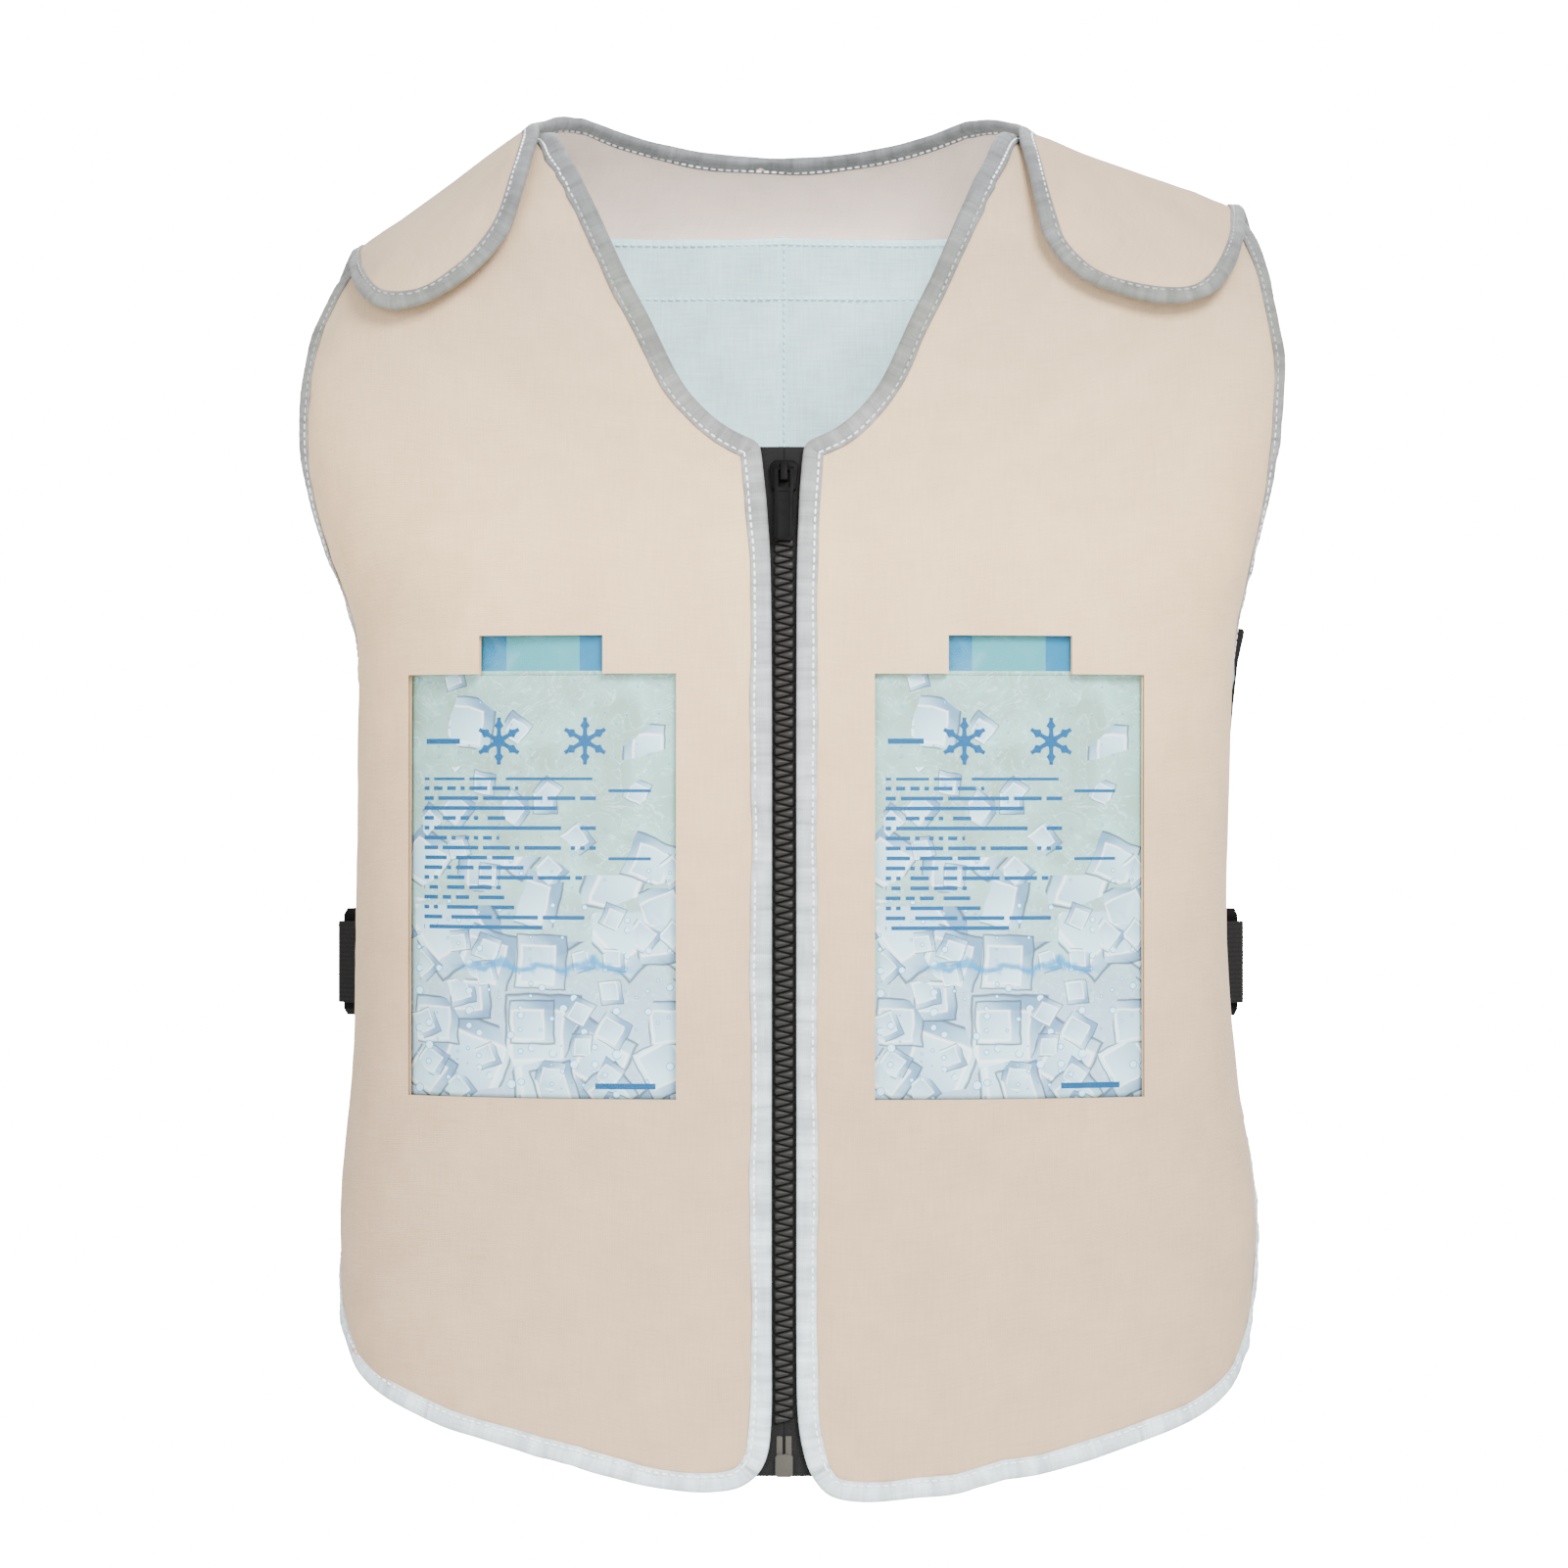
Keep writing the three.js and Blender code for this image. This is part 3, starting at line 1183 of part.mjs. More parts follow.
// The back pocket is one cloth sewn down its middle and round its sides and foot, open at the top
function backPocketGeometry(bodies) {
  const { halfWidth, top, height, puff } = BACK_POCKET;
  const columns = [-1, -0.85, -0.5, -0.15, 0, 0.15, 0.5, 0.85, 1];
  const rows = [0, 0.07, 0.2, 0.4, 0.6, 0.8, 1];
  const grid = rows.map((v) => columns.map((u) => placeAt(-u * halfWidth, -top - v * height, true)));
  const lift = (i, j, place) => {
    const u = Math.abs(columns[i]);
    const pinned = Math.min(u, 1 - u) * 2;
    const hung = Math.min(1, (1 - rows[j]) * 4);
    return liftOnto(bodies, place, true) - GAP - BACK_POCKET.setback - puff * Math.sqrt(pinned * hung);
  };
  return gridWall(grid, lift, (i, j, place) => lift(i, j, place) - POCKET_CLOTH);
}

// Assembly
const vest = new THREE.Group();
const pullTab = new THREE.Group();

const back = boundPanel(backPlaces());
const backPanel = namedMesh("back_panel", back.cloth, cloth);
const backNeckBinding = namedMesh("back_neck_binding", back.bindings[0], bindingTape);
const backEdgeBinding = namedMesh("back_edge_binding", back.bindings[1], bindingTape);
const backBodies = [backPanel, backEdgeBinding];
vest.add(backPanel, backNeckBinding, backEdgeBinding);
vest.add(namedMesh("back_pocket", backPocketGeometry([backPanel]), pocketCloth));

for (const side of ["left", "right"]) {
  const front = boundPanel(frontPlaces(side));
  const panel = namedMesh(`front_${side}`, front.cloth, cloth);
  const panelBinding = namedMesh(`front_${side}_binding`, front.bindings[0], bindingTape);
  const frontBodies = [panel, panelBinding];
  vest.add(panel, panelBinding);
  const flap = boundPanel(flapPlaces(side));
  vest.add(namedMesh(`shoulder_flap_${side}`, flap.cloth, cloth));
  vest.add(namedMesh(`shoulder_flap_${side}_binding`, flap.bindings[0], bindingTape));
  vest.add(namedMesh(`zip_tape_${side}`, tapeGeometry(side), blackWebbing));
  vest.add(namedMesh(`zip_teeth_${side}`, chainGeometry(side), blackPlastic));
  vest.add(namedMesh(`front_pocket_${side}`, frontPocketGeometry(side, [panel]), pocketCloth));
  vest.add(namedMesh(`ice_pack_${side}`, packGeometry(side, [panel]), packFilm));
  const strap = upperStrapGeometry(side, [...frontBodies, ...backBodies]);
  vest.add(namedMesh(`upper_side_strap_${side}`, strap, blackWebbing));
  vest.add(namedMesh(`buckle_strap_front_${side}`, webbingGeometry(side, false, frontBodies), blackWebbing));
  vest.add(namedMesh(`buckle_strap_back_${side}`, webbingGeometry(side, true, backBodies), blackWebbing));
  const frame = buckleFrame(side);
  for (const [name, geometry] of [
    ["buckle_plug", plugGeometry()],
    ["buckle_socket", socketGeometry()],
  ]) {
    const mesh = namedMesh(`${name}_${side}`, geometry, blackPlastic);
    mesh.applyMatrix4(frame);
    vest.add(mesh);
  }
}

vest.add(standAtZip(namedMesh("zip_slider", sliderGeometry(), blackPlastic), ZIP_TOP_DROP));
vest.add(standAtZip(namedMesh("zip_box", boxGeometry(), blackPlastic), zipEnd - BOX.length));
vest.add(standAtZip(namedMesh("zip_pin", pinGeometry(), blackPlastic), zipEnd - BOX.length));

const pull = namedMesh("zip_pull", pullGeometry(), blackPlastic);
pull.position.set(0, pivotDown, pivotOut);
pullTab.add(pull);
standAtZip(pullTab, ZIP_TOP_DROP);
vest.add(pullTab);

export default vest;
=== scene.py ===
"""Dresses a packed cooling vest: cloth, bindings, stitching, zip, straps, pockets and ice packs.

Every surface lies on one worn form. A place on it is a pair of numbers on a chart, and a chart turns
places into points. Metres, +Z up, the front faces -Y and the wearer's left is +X.
"""

import math
from collections import namedtuple

import bmesh
import bpy
import numpy as np
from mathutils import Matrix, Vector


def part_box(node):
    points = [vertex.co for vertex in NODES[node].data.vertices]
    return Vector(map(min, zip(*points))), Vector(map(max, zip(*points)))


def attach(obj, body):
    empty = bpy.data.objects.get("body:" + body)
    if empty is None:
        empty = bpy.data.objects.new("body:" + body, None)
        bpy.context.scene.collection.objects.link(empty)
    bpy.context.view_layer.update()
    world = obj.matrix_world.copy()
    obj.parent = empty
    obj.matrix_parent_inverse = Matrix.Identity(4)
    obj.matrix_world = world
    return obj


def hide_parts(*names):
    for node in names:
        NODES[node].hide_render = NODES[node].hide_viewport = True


bl_info = {
    "name": "Cooling Vest",
    "version": (1, 0, 0),
    "blender": (4, 5, 0),
    "location": "View3D > Sidebar > Vest",
    "description": "Builds a zip-fronted cooling vest in cloth round its solid frame",
    "category": "Add Mesh",
}

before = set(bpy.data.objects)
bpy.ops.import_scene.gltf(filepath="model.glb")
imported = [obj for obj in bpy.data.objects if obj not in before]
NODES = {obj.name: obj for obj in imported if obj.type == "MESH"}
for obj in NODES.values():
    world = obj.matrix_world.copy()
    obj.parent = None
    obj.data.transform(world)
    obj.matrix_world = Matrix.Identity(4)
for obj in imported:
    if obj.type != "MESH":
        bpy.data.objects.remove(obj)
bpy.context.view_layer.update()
SIDES = {"left": 1, "right": -1}
MM = 0.001

# down, half width on the right and left, depth of the front and back, squareness of the front and back
FORM = np.array([
    (0.0, 0.86, 0.95, 0.49, 0.64, 2.5, 2.6),
    (0.073, 0.871, 0.973, 0.6, 0.8, 2.7, 2.7),
    (0.097, 0.885, 0.986, 0.64, 0.85, 2.8, 2.8),
    (0.137, 0.93, 0.992, 0.7, 0.9, 2.9, 2.9),
    (0.185, 0.954, 1.004, 0.77, 0.95, 3.0, 3.0),
    (0.229, 0.962, 0.99, 0.83, 0.97, 3.0, 3.0),
    (0.274, 0.937, 0.958, 0.88, 0.99, 3.0, 3.0),
    (0.323, 0.888, 0.916, 0.93, 1.0, 2.9, 3.0),
    (0.379, 0.835, 0.882, 0.96, 0.99, 2.7, 3.1),
    (0.484, 0.831, 0.866, 0.99, 0.96, 2.6, 3.3),
    (0.605, 0.837, 0.859, 1.0, 0.93, 2.6, 3.4),
    (0.71, 0.839, 0.882, 0.99, 0.93, 2.6, 3.4),
    (0.806, 0.859, 0.92, 0.975, 0.95, 2.6, 3.3),
    (0.903, 0.865, 0.908, 0.96, 0.97, 2.6, 3.1),
    (1.0, 0.859, 0.889, 0.945, 0.99, 2.6, 3.0),
])
RIGHT, LEFT, FRONT, BACK, SQUARE, SQUARE_BACK = range(1, 7)

# out, and the shoulder line's fall to the right and left shoulder's tip as shares of each drop
CREST = np.array([
    (-0.1, 0.0, 0.0),
    (0.0, 0.04, 0.07),
    (0.06, 0.085, 0.15),
    (0.15, 0.155, 0.27),
    (0.3, 0.3, 0.425),
    (0.5, 0.5, 0.59),
    (0.7, 0.69, 0.766),
    (0.9, 0.89, 0.93),
    (1.0, 1.0, 1.0),
    (1.4, 1.42, 1.32),
])

# down, and how far the right and the left front's edge part beyond the zip's own opening
ZIP_FLARE = np.array([
    (0.248, 0.46, 0.3),
    (0.27, 0.32, 0.18),
    (0.31, 0.12, 0.06),
    (0.37, 0.0, 0.0),
    (0.86, 0.0, 0.0),
    (0.93, 0.0, 0.02),
    (0.963, 0.05, 0.2),
    (0.975, 0.3, 0.42),
    (0.985, 0.62, 0.62),
])

# out and down, from the zip to the shoulder
NECKLINE = np.array([
    (0.12, 1.0),
    (0.24, 0.955),
    (0.35, 0.895),
    (0.45, 0.81),
    (0.575, 0.64),
    (0.68, 0.505),
    (0.765, 0.38),
    (0.855, 0.25),
    (0.945, 0.135),
    (1.03, 0.05),
    (1.07, 0.0),
])

# out and down, from the middle of the back to the shoulder
BACK_NECKLINE = np.array([(0.0, 1.0), (0.27, 0.92), (0.53, 0.7), (0.78, 0.33), (1.0, 0.0)])

# out and down, from the zip to the side
FRONT_HEM = {
    "left": np.array([
        (0.085, 0.9985),
        (0.15, 1.003),
        (0.24, 1.0005),
        (0.37, 0.993),
        (0.55, 0.979),
        (0.71, 0.961),
        (0.83, 0.942),
        (0.875, 0.925),
    ]),
    "right": np.array([
        (0.085, 0.993),
        (0.14, 0.996),
        (0.2, 0.995),
        (0.3, 0.9885),
        (0.44, 0.9745),
        (0.6, 0.9585),
        (0.72, 0.943),
        (0.8, 0.927),
    ]),
}
# down, where the zip's edge is worked out, from its corner at the hem to near the neck
ZIP_HEIGHTS = np.array([0.985, 0.97, 0.94, 0.88, 0.78, 0.66, 0.54, 0.43, 0.34, 0.295])

# down and turn in degrees, up the armhole and, on each side, from the hem to the shoulder
ARMHOLE = np.array([(0.42, 93), (0.375, 88.5), (0.32, 83), (0.27, 79.5), (0.22, 78.5), (0.17, 79)])
FRONT_SIDE = {
    "left": np.vstack([
        [(0.88, 84.5), (0.81, 87), (0.74, 90), (0.67, 93), (0.58, 95), (0.48, 95)],
        ARMHOLE,
        (0.12, 79.5),
    ]),
    "right": np.vstack([
        [(0.88, 83), (0.84, 90), (0.78, 95), (0.7, 96), (0.6, 96), (0.48, 95.5)],
        ARMHOLE,
    ]),
}

# down and turn in degrees: the back's hem from its side to its middle, and its side from the hem up
BACK_HEM = np.array([(0.9, 112), (0.92, 118), (0.94, 130), (0.957, 150), (0.963, 180)])
BACK_SIDE = np.array([
    (0.885, 110.5),
    (0.84, 111),
    (0.74, 118),
    (0.62, 121.5),
    (0.5, 117),
    (0.42, 110.5),
    (0.36, 105.5),
    (0.3, 103),
    (0.24, 102.5),
    (0.18, 102),
])

# out from the neck and run down the front, from the neck round the flap to the shoulder's tip
FLAP_EDGE = np.array([
    (0.05, 0.0),
    (0.07, 0.3),
    (0.095, 0.6),
    (0.13, 0.78),
    (0.19, 0.91),
    (0.3, 0.985),
    (0.42, 1.0),
    (0.56, 0.985),
    (0.7, 0.92),
    (0.82, 0.8),
    (0.89, 0.66),
    (0.945, 0.48),
    (0.98, 0.27),
    (1.0, 0.0),
])

# A binding's section on one side of the cloth, from its border to its fold: how far in over the cloth as a
# share of its width, and how far from the cloth's middle in millimetres
BINDING_SIDE = np.array([
    (1.0, 1.2),
    (1.0, 1.7),
    (0.95, 1.95),
    (0.86, 2.0),
    (0.78, 1.75),
    (0.68, 2.1),
    (0.5, 2.4),
    (0.36, 2.5),
    (0.22, 2.3),
    (0.1, 1.8),
    (0.02, 1.0),
])
BINDING_INSIDE = np.array([(0.3, -1.2), (0.16, 0.0), (0.3, 1.2)])
BINDING_SECTION = np.vstack([BINDING_SIDE, (0.0, 0.0), BINDING_SIDE[::-1] * (1, -1), BINDING_INSIDE])


# The row of the flap's edge where its end turns into its side
FLAP_CORNER = 10


def metres(name, description, default):
    """A property that holds a length."""
    return bpy.props.FloatProperty(
        name=name, description=description, default=default, min=0.0, unit="LENGTH"
    )


def colour(name, description, red, green, blue):
    """A property that holds a colour, given as the eight-bit values of a screen."""
    shares = [v / 255 for v in (red, green, blue)]
    values = [(v / 12.92 if v <= 0.04045 else ((v + 0.055) / 1.055) ** 2.4) for v in shares]
    return bpy.props.FloatVectorProperty(
        name=name, description=description, default=values, size=3, min=0.0, max=1.0, subtype="COLOR"
    )


class VestShape(bpy.types.PropertyGroup):
    """Sizes of the worn vest and of its cloth"""

    body_length: metres("Body length", "From the shoulder line to the lowest hem", 0.62)
    chest_half_width: metres("Chest half width", "Half the width over the chest", 0.234)
    front_depth: metres("Front depth", "How far the belly stands before the shoulder line", 0.122)
    back_depth: metres("Back depth", "How far the back stands behind the shoulder line", 0.112)
    shoulder_arch: metres("Shoulder arch", "Radius of the cloth over the shoulders", 0.048)
    left_reach: metres("Left shoulder reach", "From the middle to the left shoulder's tip", 0.211)
    right_reach: metres("Right shoulder reach", "From the middle to the right shoulder's tip", 0.197)
    left_drop: metres("Left shoulder drop", "How far the left shoulder's tip lies below the neck", 0.047)
    right_drop: metres("Right shoulder drop", "How far the right shoulder's tip lies below the neck", 0.068)
    left_flap: metres("Left flap length", "How far the left flap comes down the front", 0.092)
    right_flap: metres("Right flap length", "How far the right flap comes down the front", 0.084)
    neck_left: metres("Neck, left", "From the middle to the left end of the neck on the shoulders", 0.097)
    neck_right: metres("Neck, right", "From the middle to the right end of the neck on the shoulders", 0.103)
    neck_front: metres("Front neck depth", "How far the neckline falls to the zip", 0.154)
    neck_back: metres("Back neck depth", "How far the neckline falls at the back", 0.014)
    cloth: metres("Cloth thickness", "Thickness of the fronts and the back", 0.002)
    binding: metres("Binding width", "Width of the tape that binds every edge", 0.0092)
    flap_binding: metres("Flap binding width", "Width that shows of the tape round the flaps", 0.007)
    flap_lift: metres("Flap lift", "How far the flaps lie over the fronts", 0.0054)
    flap_flare: metres("Flap flare", "How much more the free ends of the flaps stand off", 0.006)
    flap_lift_run: metres("Flap lift run", "Length of cloth in which the back comes down to the body", 0.095)
    zip_opening: metres("Zip opening", "Width in which the zip shows", 0.011)
    stitch: metres("Stitch pitch", "From one stitch to the next", 0.0036)
    pack_width: metres("Pack width", "Width of a pack without its neck", 0.121)
    pack_height: metres("Pack height", "Height of a pack without its neck", 0.189)
    pack_neck_width: metres("Pack neck width", "Width of the neck on a pack", 0.056)
    pack_neck_height: metres("Pack neck height", "Height of the neck on a pack", 0.017)


class VestColours(bpy.types.PropertyGroup):
    """Colours of the vest's materials"""

    flap: colour("Flap cloth", "Tan of the cloth over the shoulders", 190, 164, 133)
    chest: colour("Chest cloth", "Tan of the cloth over the chest", 228, 194, 148)
    belly: colour("Lower cloth", "Tan of the cloth near the hem", 196, 166, 133)
    # The inner face is its own pinkish tan pushed as pale as it goes: partly painted light that stands in for
    # the light inside the vest
    inner: colour("Inner face", "Pinkish tan of the cloth's inner face", 255, 233, 221)
    flap_tape: colour("Flap tape", "Grey of the tape round the flaps", 115, 118, 111)
    neck_tape: colour("Neck binding", "Grey of the binding round the neck", 111, 114, 117)
    zip_tape: colour("Zip binding", "Pale grey of the binding beside the zip", 169, 172, 175)
    hem_tape: colour("Hem binding", "Pale grey of the binding round the hem", 219, 236, 243)
    lining: colour("Pocket cloth", "Pale blue of the inner pockets", 204, 240, 250)
    flap_thread: colour("Flap thread", "Grey of the thread round the flaps", 158, 160, 156)
    black: colour("Black plastic", "Zip and buckles", 9, 8, 8)
    teeth: colour("Teeth", "Black of the zip's teeth", 28, 27, 26)
    grey: colour("Grey plastic", "The zip's box and pin", 70, 68, 63)
    webbing: colour("Black webbing", "Straps and zip tapes", 15, 14, 14)
    thread: colour("Thread", "Stitching", 255, 255, 255)
    pack_green: colour("Pack", "Grey green of the packs", 135, 166, 156)
    pack_aqua: colour("Pack, lighter", "Pale aqua of the packs", 150, 200, 192)
    pack_low: colour("Pack's foot", "Blue of the packs near their foot", 169, 196, 224)
    ice: colour("Ice", "Lit faces of the lumps of ice", 200, 242, 255)
    ice_shade: colour("Ice in shade", "Shaded faces of the lumps of ice", 92, 134, 168)
    ice_edge: colour("Ice edges", "Lines round the lumps of ice", 62, 72, 88)
    print_blue: colour("Printed blue", "Pattern printed on the packs", 0, 82, 130)
    water: colour("Water line", "Wavy line across the packs", 0, 130, 188)
    neck_ends: colour("Neck ends", "Blue of the ends of a pack's neck", 0, 110, 150)
    neck_middle: colour("Neck middle", "Aqua of the middle of a pack's neck", 62, 146, 156)
    floor: colour("Floor", "The studio floor", 244, 244, 243)


def read_table(rows, at, column):
    """Reads a table's column at values of its first one, by cubic pieces that take each row's slope from its
    neighbours."""
    x, y = rows[:, 0], rows[:, column]
    at = np.clip(at, x[0], x[-1])
    i = np.clip(np.searchsorted(x, at), 1, len(x) - 1)
    before = np.maximum(np.arange(len(x)) - 1, 0)
    after = np.minimum(np.arange(len(x)) + 1, len(x) - 1)
    slope = (y[after] - y[before]) / (x[after] - x[before])
    width = x[i] - x[i - 1]
    t = (at - x[i - 1]) / width
    rise = t * t * (3 - 2 * t)
    return y[i - 1] + (y[i] - y[i - 1]) * rise + width * t * (1 - t) * ((1 - t) * slope[i - 1] - t * slope[i])


def smooth_step(t):
    """0 below 0, 1 above 1, and three t squared less two t cubed between."""
    t = np.clip(t, 0, 1)
    return t * t * (3 - 2 * t)


def unit(vectors):
    """Vectors divided by their own lengths."""
    return vectors / np.maximum(np.linalg.norm(vectors, axis=-1, keepdims=True), 1e-12)


# How far down a flap begins to stand off more, and the run in which it does
FLARE_START = 0.025
FLARE_RUN = 0.055


class WornForm:
    """The shape that the cloth lies on: rounded plans stacked below a shoulder line that the cloth arches
    over."""

    def __init__(self, shape):
        self.shape = shape
        self.arch = shape.shoulder_arch
        self.arch_run = self.arch * math.pi / 2

    def crest(self, x):
        """Height of the shoulder line: level over the neck, then a fall to each tip that a table gives."""
        shape = self.shape
        reach = np.where(x < 0, shape.right_reach, shape.left_reach)
        drop = np.where(x < 0, shape.right_drop, shape.left_drop)
        neck = np.where(x < 0, shape.neck_right, shape.neck_left)
        out = (np.abs(x) - neck) / (reach - neck)
        return -drop * np.where(x < 0, read_table(CREST, out, 1), read_table(CREST, out, 2))

    def drop(self, run):
        """How far below the shoulder line a run of cloth comes: a quarter circle, then straight down."""
        run = np.abs(run)
        arc = self.arch * (1 - np.cos(np.minimum(run, self.arch_run) / self.arch))
        return arc + np.maximum(run - self.arch_run, 0)

    def fullness(self, run):
        """The share of the plan's depth that the arch has reached: the sine of its angle."""
        return np.sin(np.clip(run, -self.arch_run, self.arch_run) / self.arch)

    def run(self, drop):
        """The run of cloth that comes down to a drop below the shoulder line."""
        arc = self.arch * np.arccos(np.clip(1 - drop / self.arch, 0, 1))
        return arc + np.maximum(drop - self.arch, 0)

    def plan(self, is_left, is_back, z):
        """Half width, depth and squareness of the plan at heights."""
        shape = self.shape
        down = -z / shape.body_length
        half = np.where(is_left, read_table(FORM, down, LEFT), read_table(FORM, down, RIGHT))
        depth_front = shape.front_depth * read_table(FORM, down, FRONT)
        depth_back = shape.back_depth * read_table(FORM, down, BACK)
        square = np.where(is_back, read_table(FORM, down, SQUARE_BACK), read_table(FORM, down, SQUARE))
        return shape.chest_half_width * half, np.where(is_back, depth_back, depth_front), square

    def reach(self, turn, z):
        """Distance from the middle axis to the plan's edge: a superellipse in polar form."""
        half, depth, square = self.plan(np.sin(turn) >= 0, np.cos(turn) < 0, z)
        across = np.abs(np.sin(turn)) / half
        deep = np.abs(np.cos(turn)) / depth
        return (across**square + deep**square) ** (-1 / square)

    def round_point(self, turn, run):
        """The point at an angle round the body and a run of cloth down from the shoulder line."""
        drop = self.drop(run)
        z = -drop
        for _ in range(10):
            reach = self.reach(turn, z)
            z = self.crest(reach * np.sin(turn)) - drop
        return np.stack([reach * np.sin(turn), -reach * np.cos(turn) * self.fullness(run), z], -1)

    def over_point(self, x, run):
        """The point at a distance from the middle and a run of cloth back from the shoulder line, or forward
        if it is below 0."""
        z = self.crest(x) - self.drop(run)
        half, depth, square = self.plan(x >= 0, run >= 0, z)
        across = np.clip(np.abs(x) / half, 0, 0.999)
        deep = depth * (1 - across**square) ** (1 / square)
        return np.stack([x + 0 * run, deep * self.fullness(run), z], -1)

    def round_place(self, x, z):
        """The angle and run that show at a point of the front seen from straight ahead."""
        half, depth, square = self.plan(x >= 0, False, z)
        across = np.clip(np.abs(x) / half, 0, 0.999)
        deep = depth * (1 - across**square) ** (1 / square)
        return np.stack([np.arctan2(x, deep), self.run(self.crest(x) - z)], -1)

    def over_place(self, turn, z):
        """The distance from the middle and run back at an angle round the body and a height."""
        x = self.reach(turn, z) * np.sin(turn)
        return np.stack([x, self.run(self.crest(x) - z)], -1)

    def shoulder_lift(self, run):
        """The back lies over the fronts at the shoulder, comes down to the body behind it in a smooth step,
        and stands off a little more towards the free ends of its flaps."""
        shape = self.shape
        flare = shape.flap_flare * smooth_step((-run - FLARE_START) / FLARE_RUN)
        return shape.flap_lift * (1 - smooth_step(run / shape.flap_lift_run)) + flare


# A chart's spot turns two arrays of numbers into points, steps are the small ones that its directions come
# from, hand says which way its outside is, and lift is its own height
Chart = namedtuple("Chart", "spot steps hand lift")


def charts(form):
    """The two charts that pieces are drawn on: round the body for the fronts, and over the shoulders for the
    back."""
    return (
        Chart(form.round_point, (0.002, 0.0004), 1, lambda a, b: 0 * b),
        Chart(form.over_point, (0.0004, 0.0004), -1, lambda a, b: form.shoulder_lift(b)),
    )


def ways(chart, places):
    """How a point moves as each number of its place grows, by central differences, and the direction
    outwards."""
    a, b = places[..., 0], places[..., 1]
    step_a, step_b = chart.steps
    by_a = (chart.spot(a + step_a, b) - chart.spot(a - step_a, b)) / (2 * step_a)
    by_b = (chart.spot(a, b + step_b) - chart.spot(a, b - step_b)) / (2 * step_b)
    return by_a, by_b, chart.hand * unit(np.cross(by_b, by_a))


def lifted(chart, places, lift):
    """Points of places, moved outwards from the form by a lift."""
    outward = ways(chart, places)[2]
    own = chart.lift(places[..., 0], places[..., 1])
    return chart.spot(places[..., 0], places[..., 1]) + outward * (own + lift)[..., None]


def moved(chart, places, vectors, passes=2):
    """Places carried along the form by vectors, from the two by two system of the chart's own directions."""
    for _ in range(passes):
        by_a, by_b, _ = ways(chart, places)
        aa, bb, ab = (np.sum(p * q, -1) for p, q in ((by_a, by_a), (by_b, by_b), (by_a, by_b)))
        a, b = (np.sum(p * vectors / passes, -1) for p in (by_a, by_b))
        scale = aa * bb - ab * ab
        places = places + np.stack([(a * bb - b * ab) / scale, (b * aa - a * ab) / scale], -1)
    return places


def smooth_line(rough, count=160):
    """A line through rough places: uniform cubic pieces whose slopes come from their neighbours."""
    p = np.vstack([2 * rough[0] - rough[1], rough, 2 * rough[-1] - rough[-2]])
    t = np.linspace(0, len(rough) - 1, count)
    i = np.minimum(t.astype(int), len(rough) - 2)
    f = (t - i)[:, None]
    a, b, c, d = p[i], p[i + 1], p[i + 2], p[i + 3]
    return 0.5 * (2 * b + (c - a) * f + (2 * a - 5 * b + 4 * c - d) * f**2 + (3 * b - a - 3 * c + d) * f**3)


def walked(chart, line, closed=False):
    """The distance walked along a line at each of its places."""
    points = chart.spot(line[:, 0], line[:, 1])
    if closed:
        points = np.vstack([points, points[:1]])
    return np.r_[0, np.cumsum(np.linalg.norm(np.diff(points, axis=0), axis=1))]


def read_line(line, distances, at, closed=False):
    """Places at distances along a line, straight between its own."""
    if closed:
        line = np.vstack([line, line[:1]])
    return np.stack([np.interp(at, distances, line[:, k]) for k in (0, 1)], -1)


def even_loop(chart, edges, spacing, roundness):
    """A closed loop of edges, at even spacing, with its corners rounded by a bell-shaped average along it."""
    loop = np.vstack([edge[:-1] for edge in edges])
    distances = walked(chart, loop, True)
    count = int(distances[-1] / spacing)
    loop = read_line(loop, distances, np.arange(count) * distances[-1] / count, True)
    waves = np.fft.rfftfreq(count)
    bell = np.exp(-2 * (math.pi * waves * roundness / spacing) ** 2)
    return np.fft.irfft(np.fft.rfft(loop, axis=0) * bell[:, None], count, axis=0)


def along_loop(chart, loop, turning):
    """The direction along a closed loop, inwards over its cloth, and outwards from the form."""
    points = chart.spot(loop[:, 0], loop[:, 1])
    along = unit(np.roll(points, -1, 0) - np.roll(points, 1, 0))
    outward = ways(chart, loop)[2]
    return along, turning * np.cross(outward, along), outward


def ripples(u, v, length, seed, waves=7):
    """A gentle unevenness between -1 and 1: a sum of sines in seeded directions, of about one wavelength."""
    rng = np.random.default_rng(seed)
    angle, phase = rng.uniform(0, 2 * math.pi, (2, waves))
    pitch = 2 * math.pi / (length * rng.uniform(0.7, 1.5, waves))
    total = sum(np.sin((u * np.cos(a) + v * np.sin(a)) * k + p) for a, k, p in zip(angle, pitch, phase))
    return total / math.sqrt(waves)


def grid_faces(rows, columns, wrap_rows=False, wrap_columns=False):
    """Faces of four corners over a grid of points numbered row by row."""
    j = np.arange(rows if wrap_rows else rows - 1)[:, None]
    i = np.arange(columns if wrap_columns else columns - 1)[None, :]
    j2, i2 = (j + 1) % rows, (i + 1) % columns
    corners = [j * columns + i, j * columns + i2, j2 * columns + i2, j2 * columns + i]
    return np.stack([c + 0 * (i + j) for c in corners], -1).reshape(-1, 4)


def fan_caps(first, count):
    """Faces that close a ring of an even count of points, as strips across it."""
    k = np.arange(count // 2 - 1)
    return np.stack([first + k, first + k + 1, first + count - 2 - k, first + count - 1 - k], -1)


def turned_out(points, faces):
    """Faces turned over where their signed volume is below 0, so that a closed body faces outwards."""
    centred = points - points.mean(0)
    a, b, c, d = (centred[faces[:, k]] for k in range(4))
    volume = np.sum(a * np.cross(b, c)) + np.sum(a * np.cross(c, d))
    return faces if volume > 0 else faces[:, ::-1]


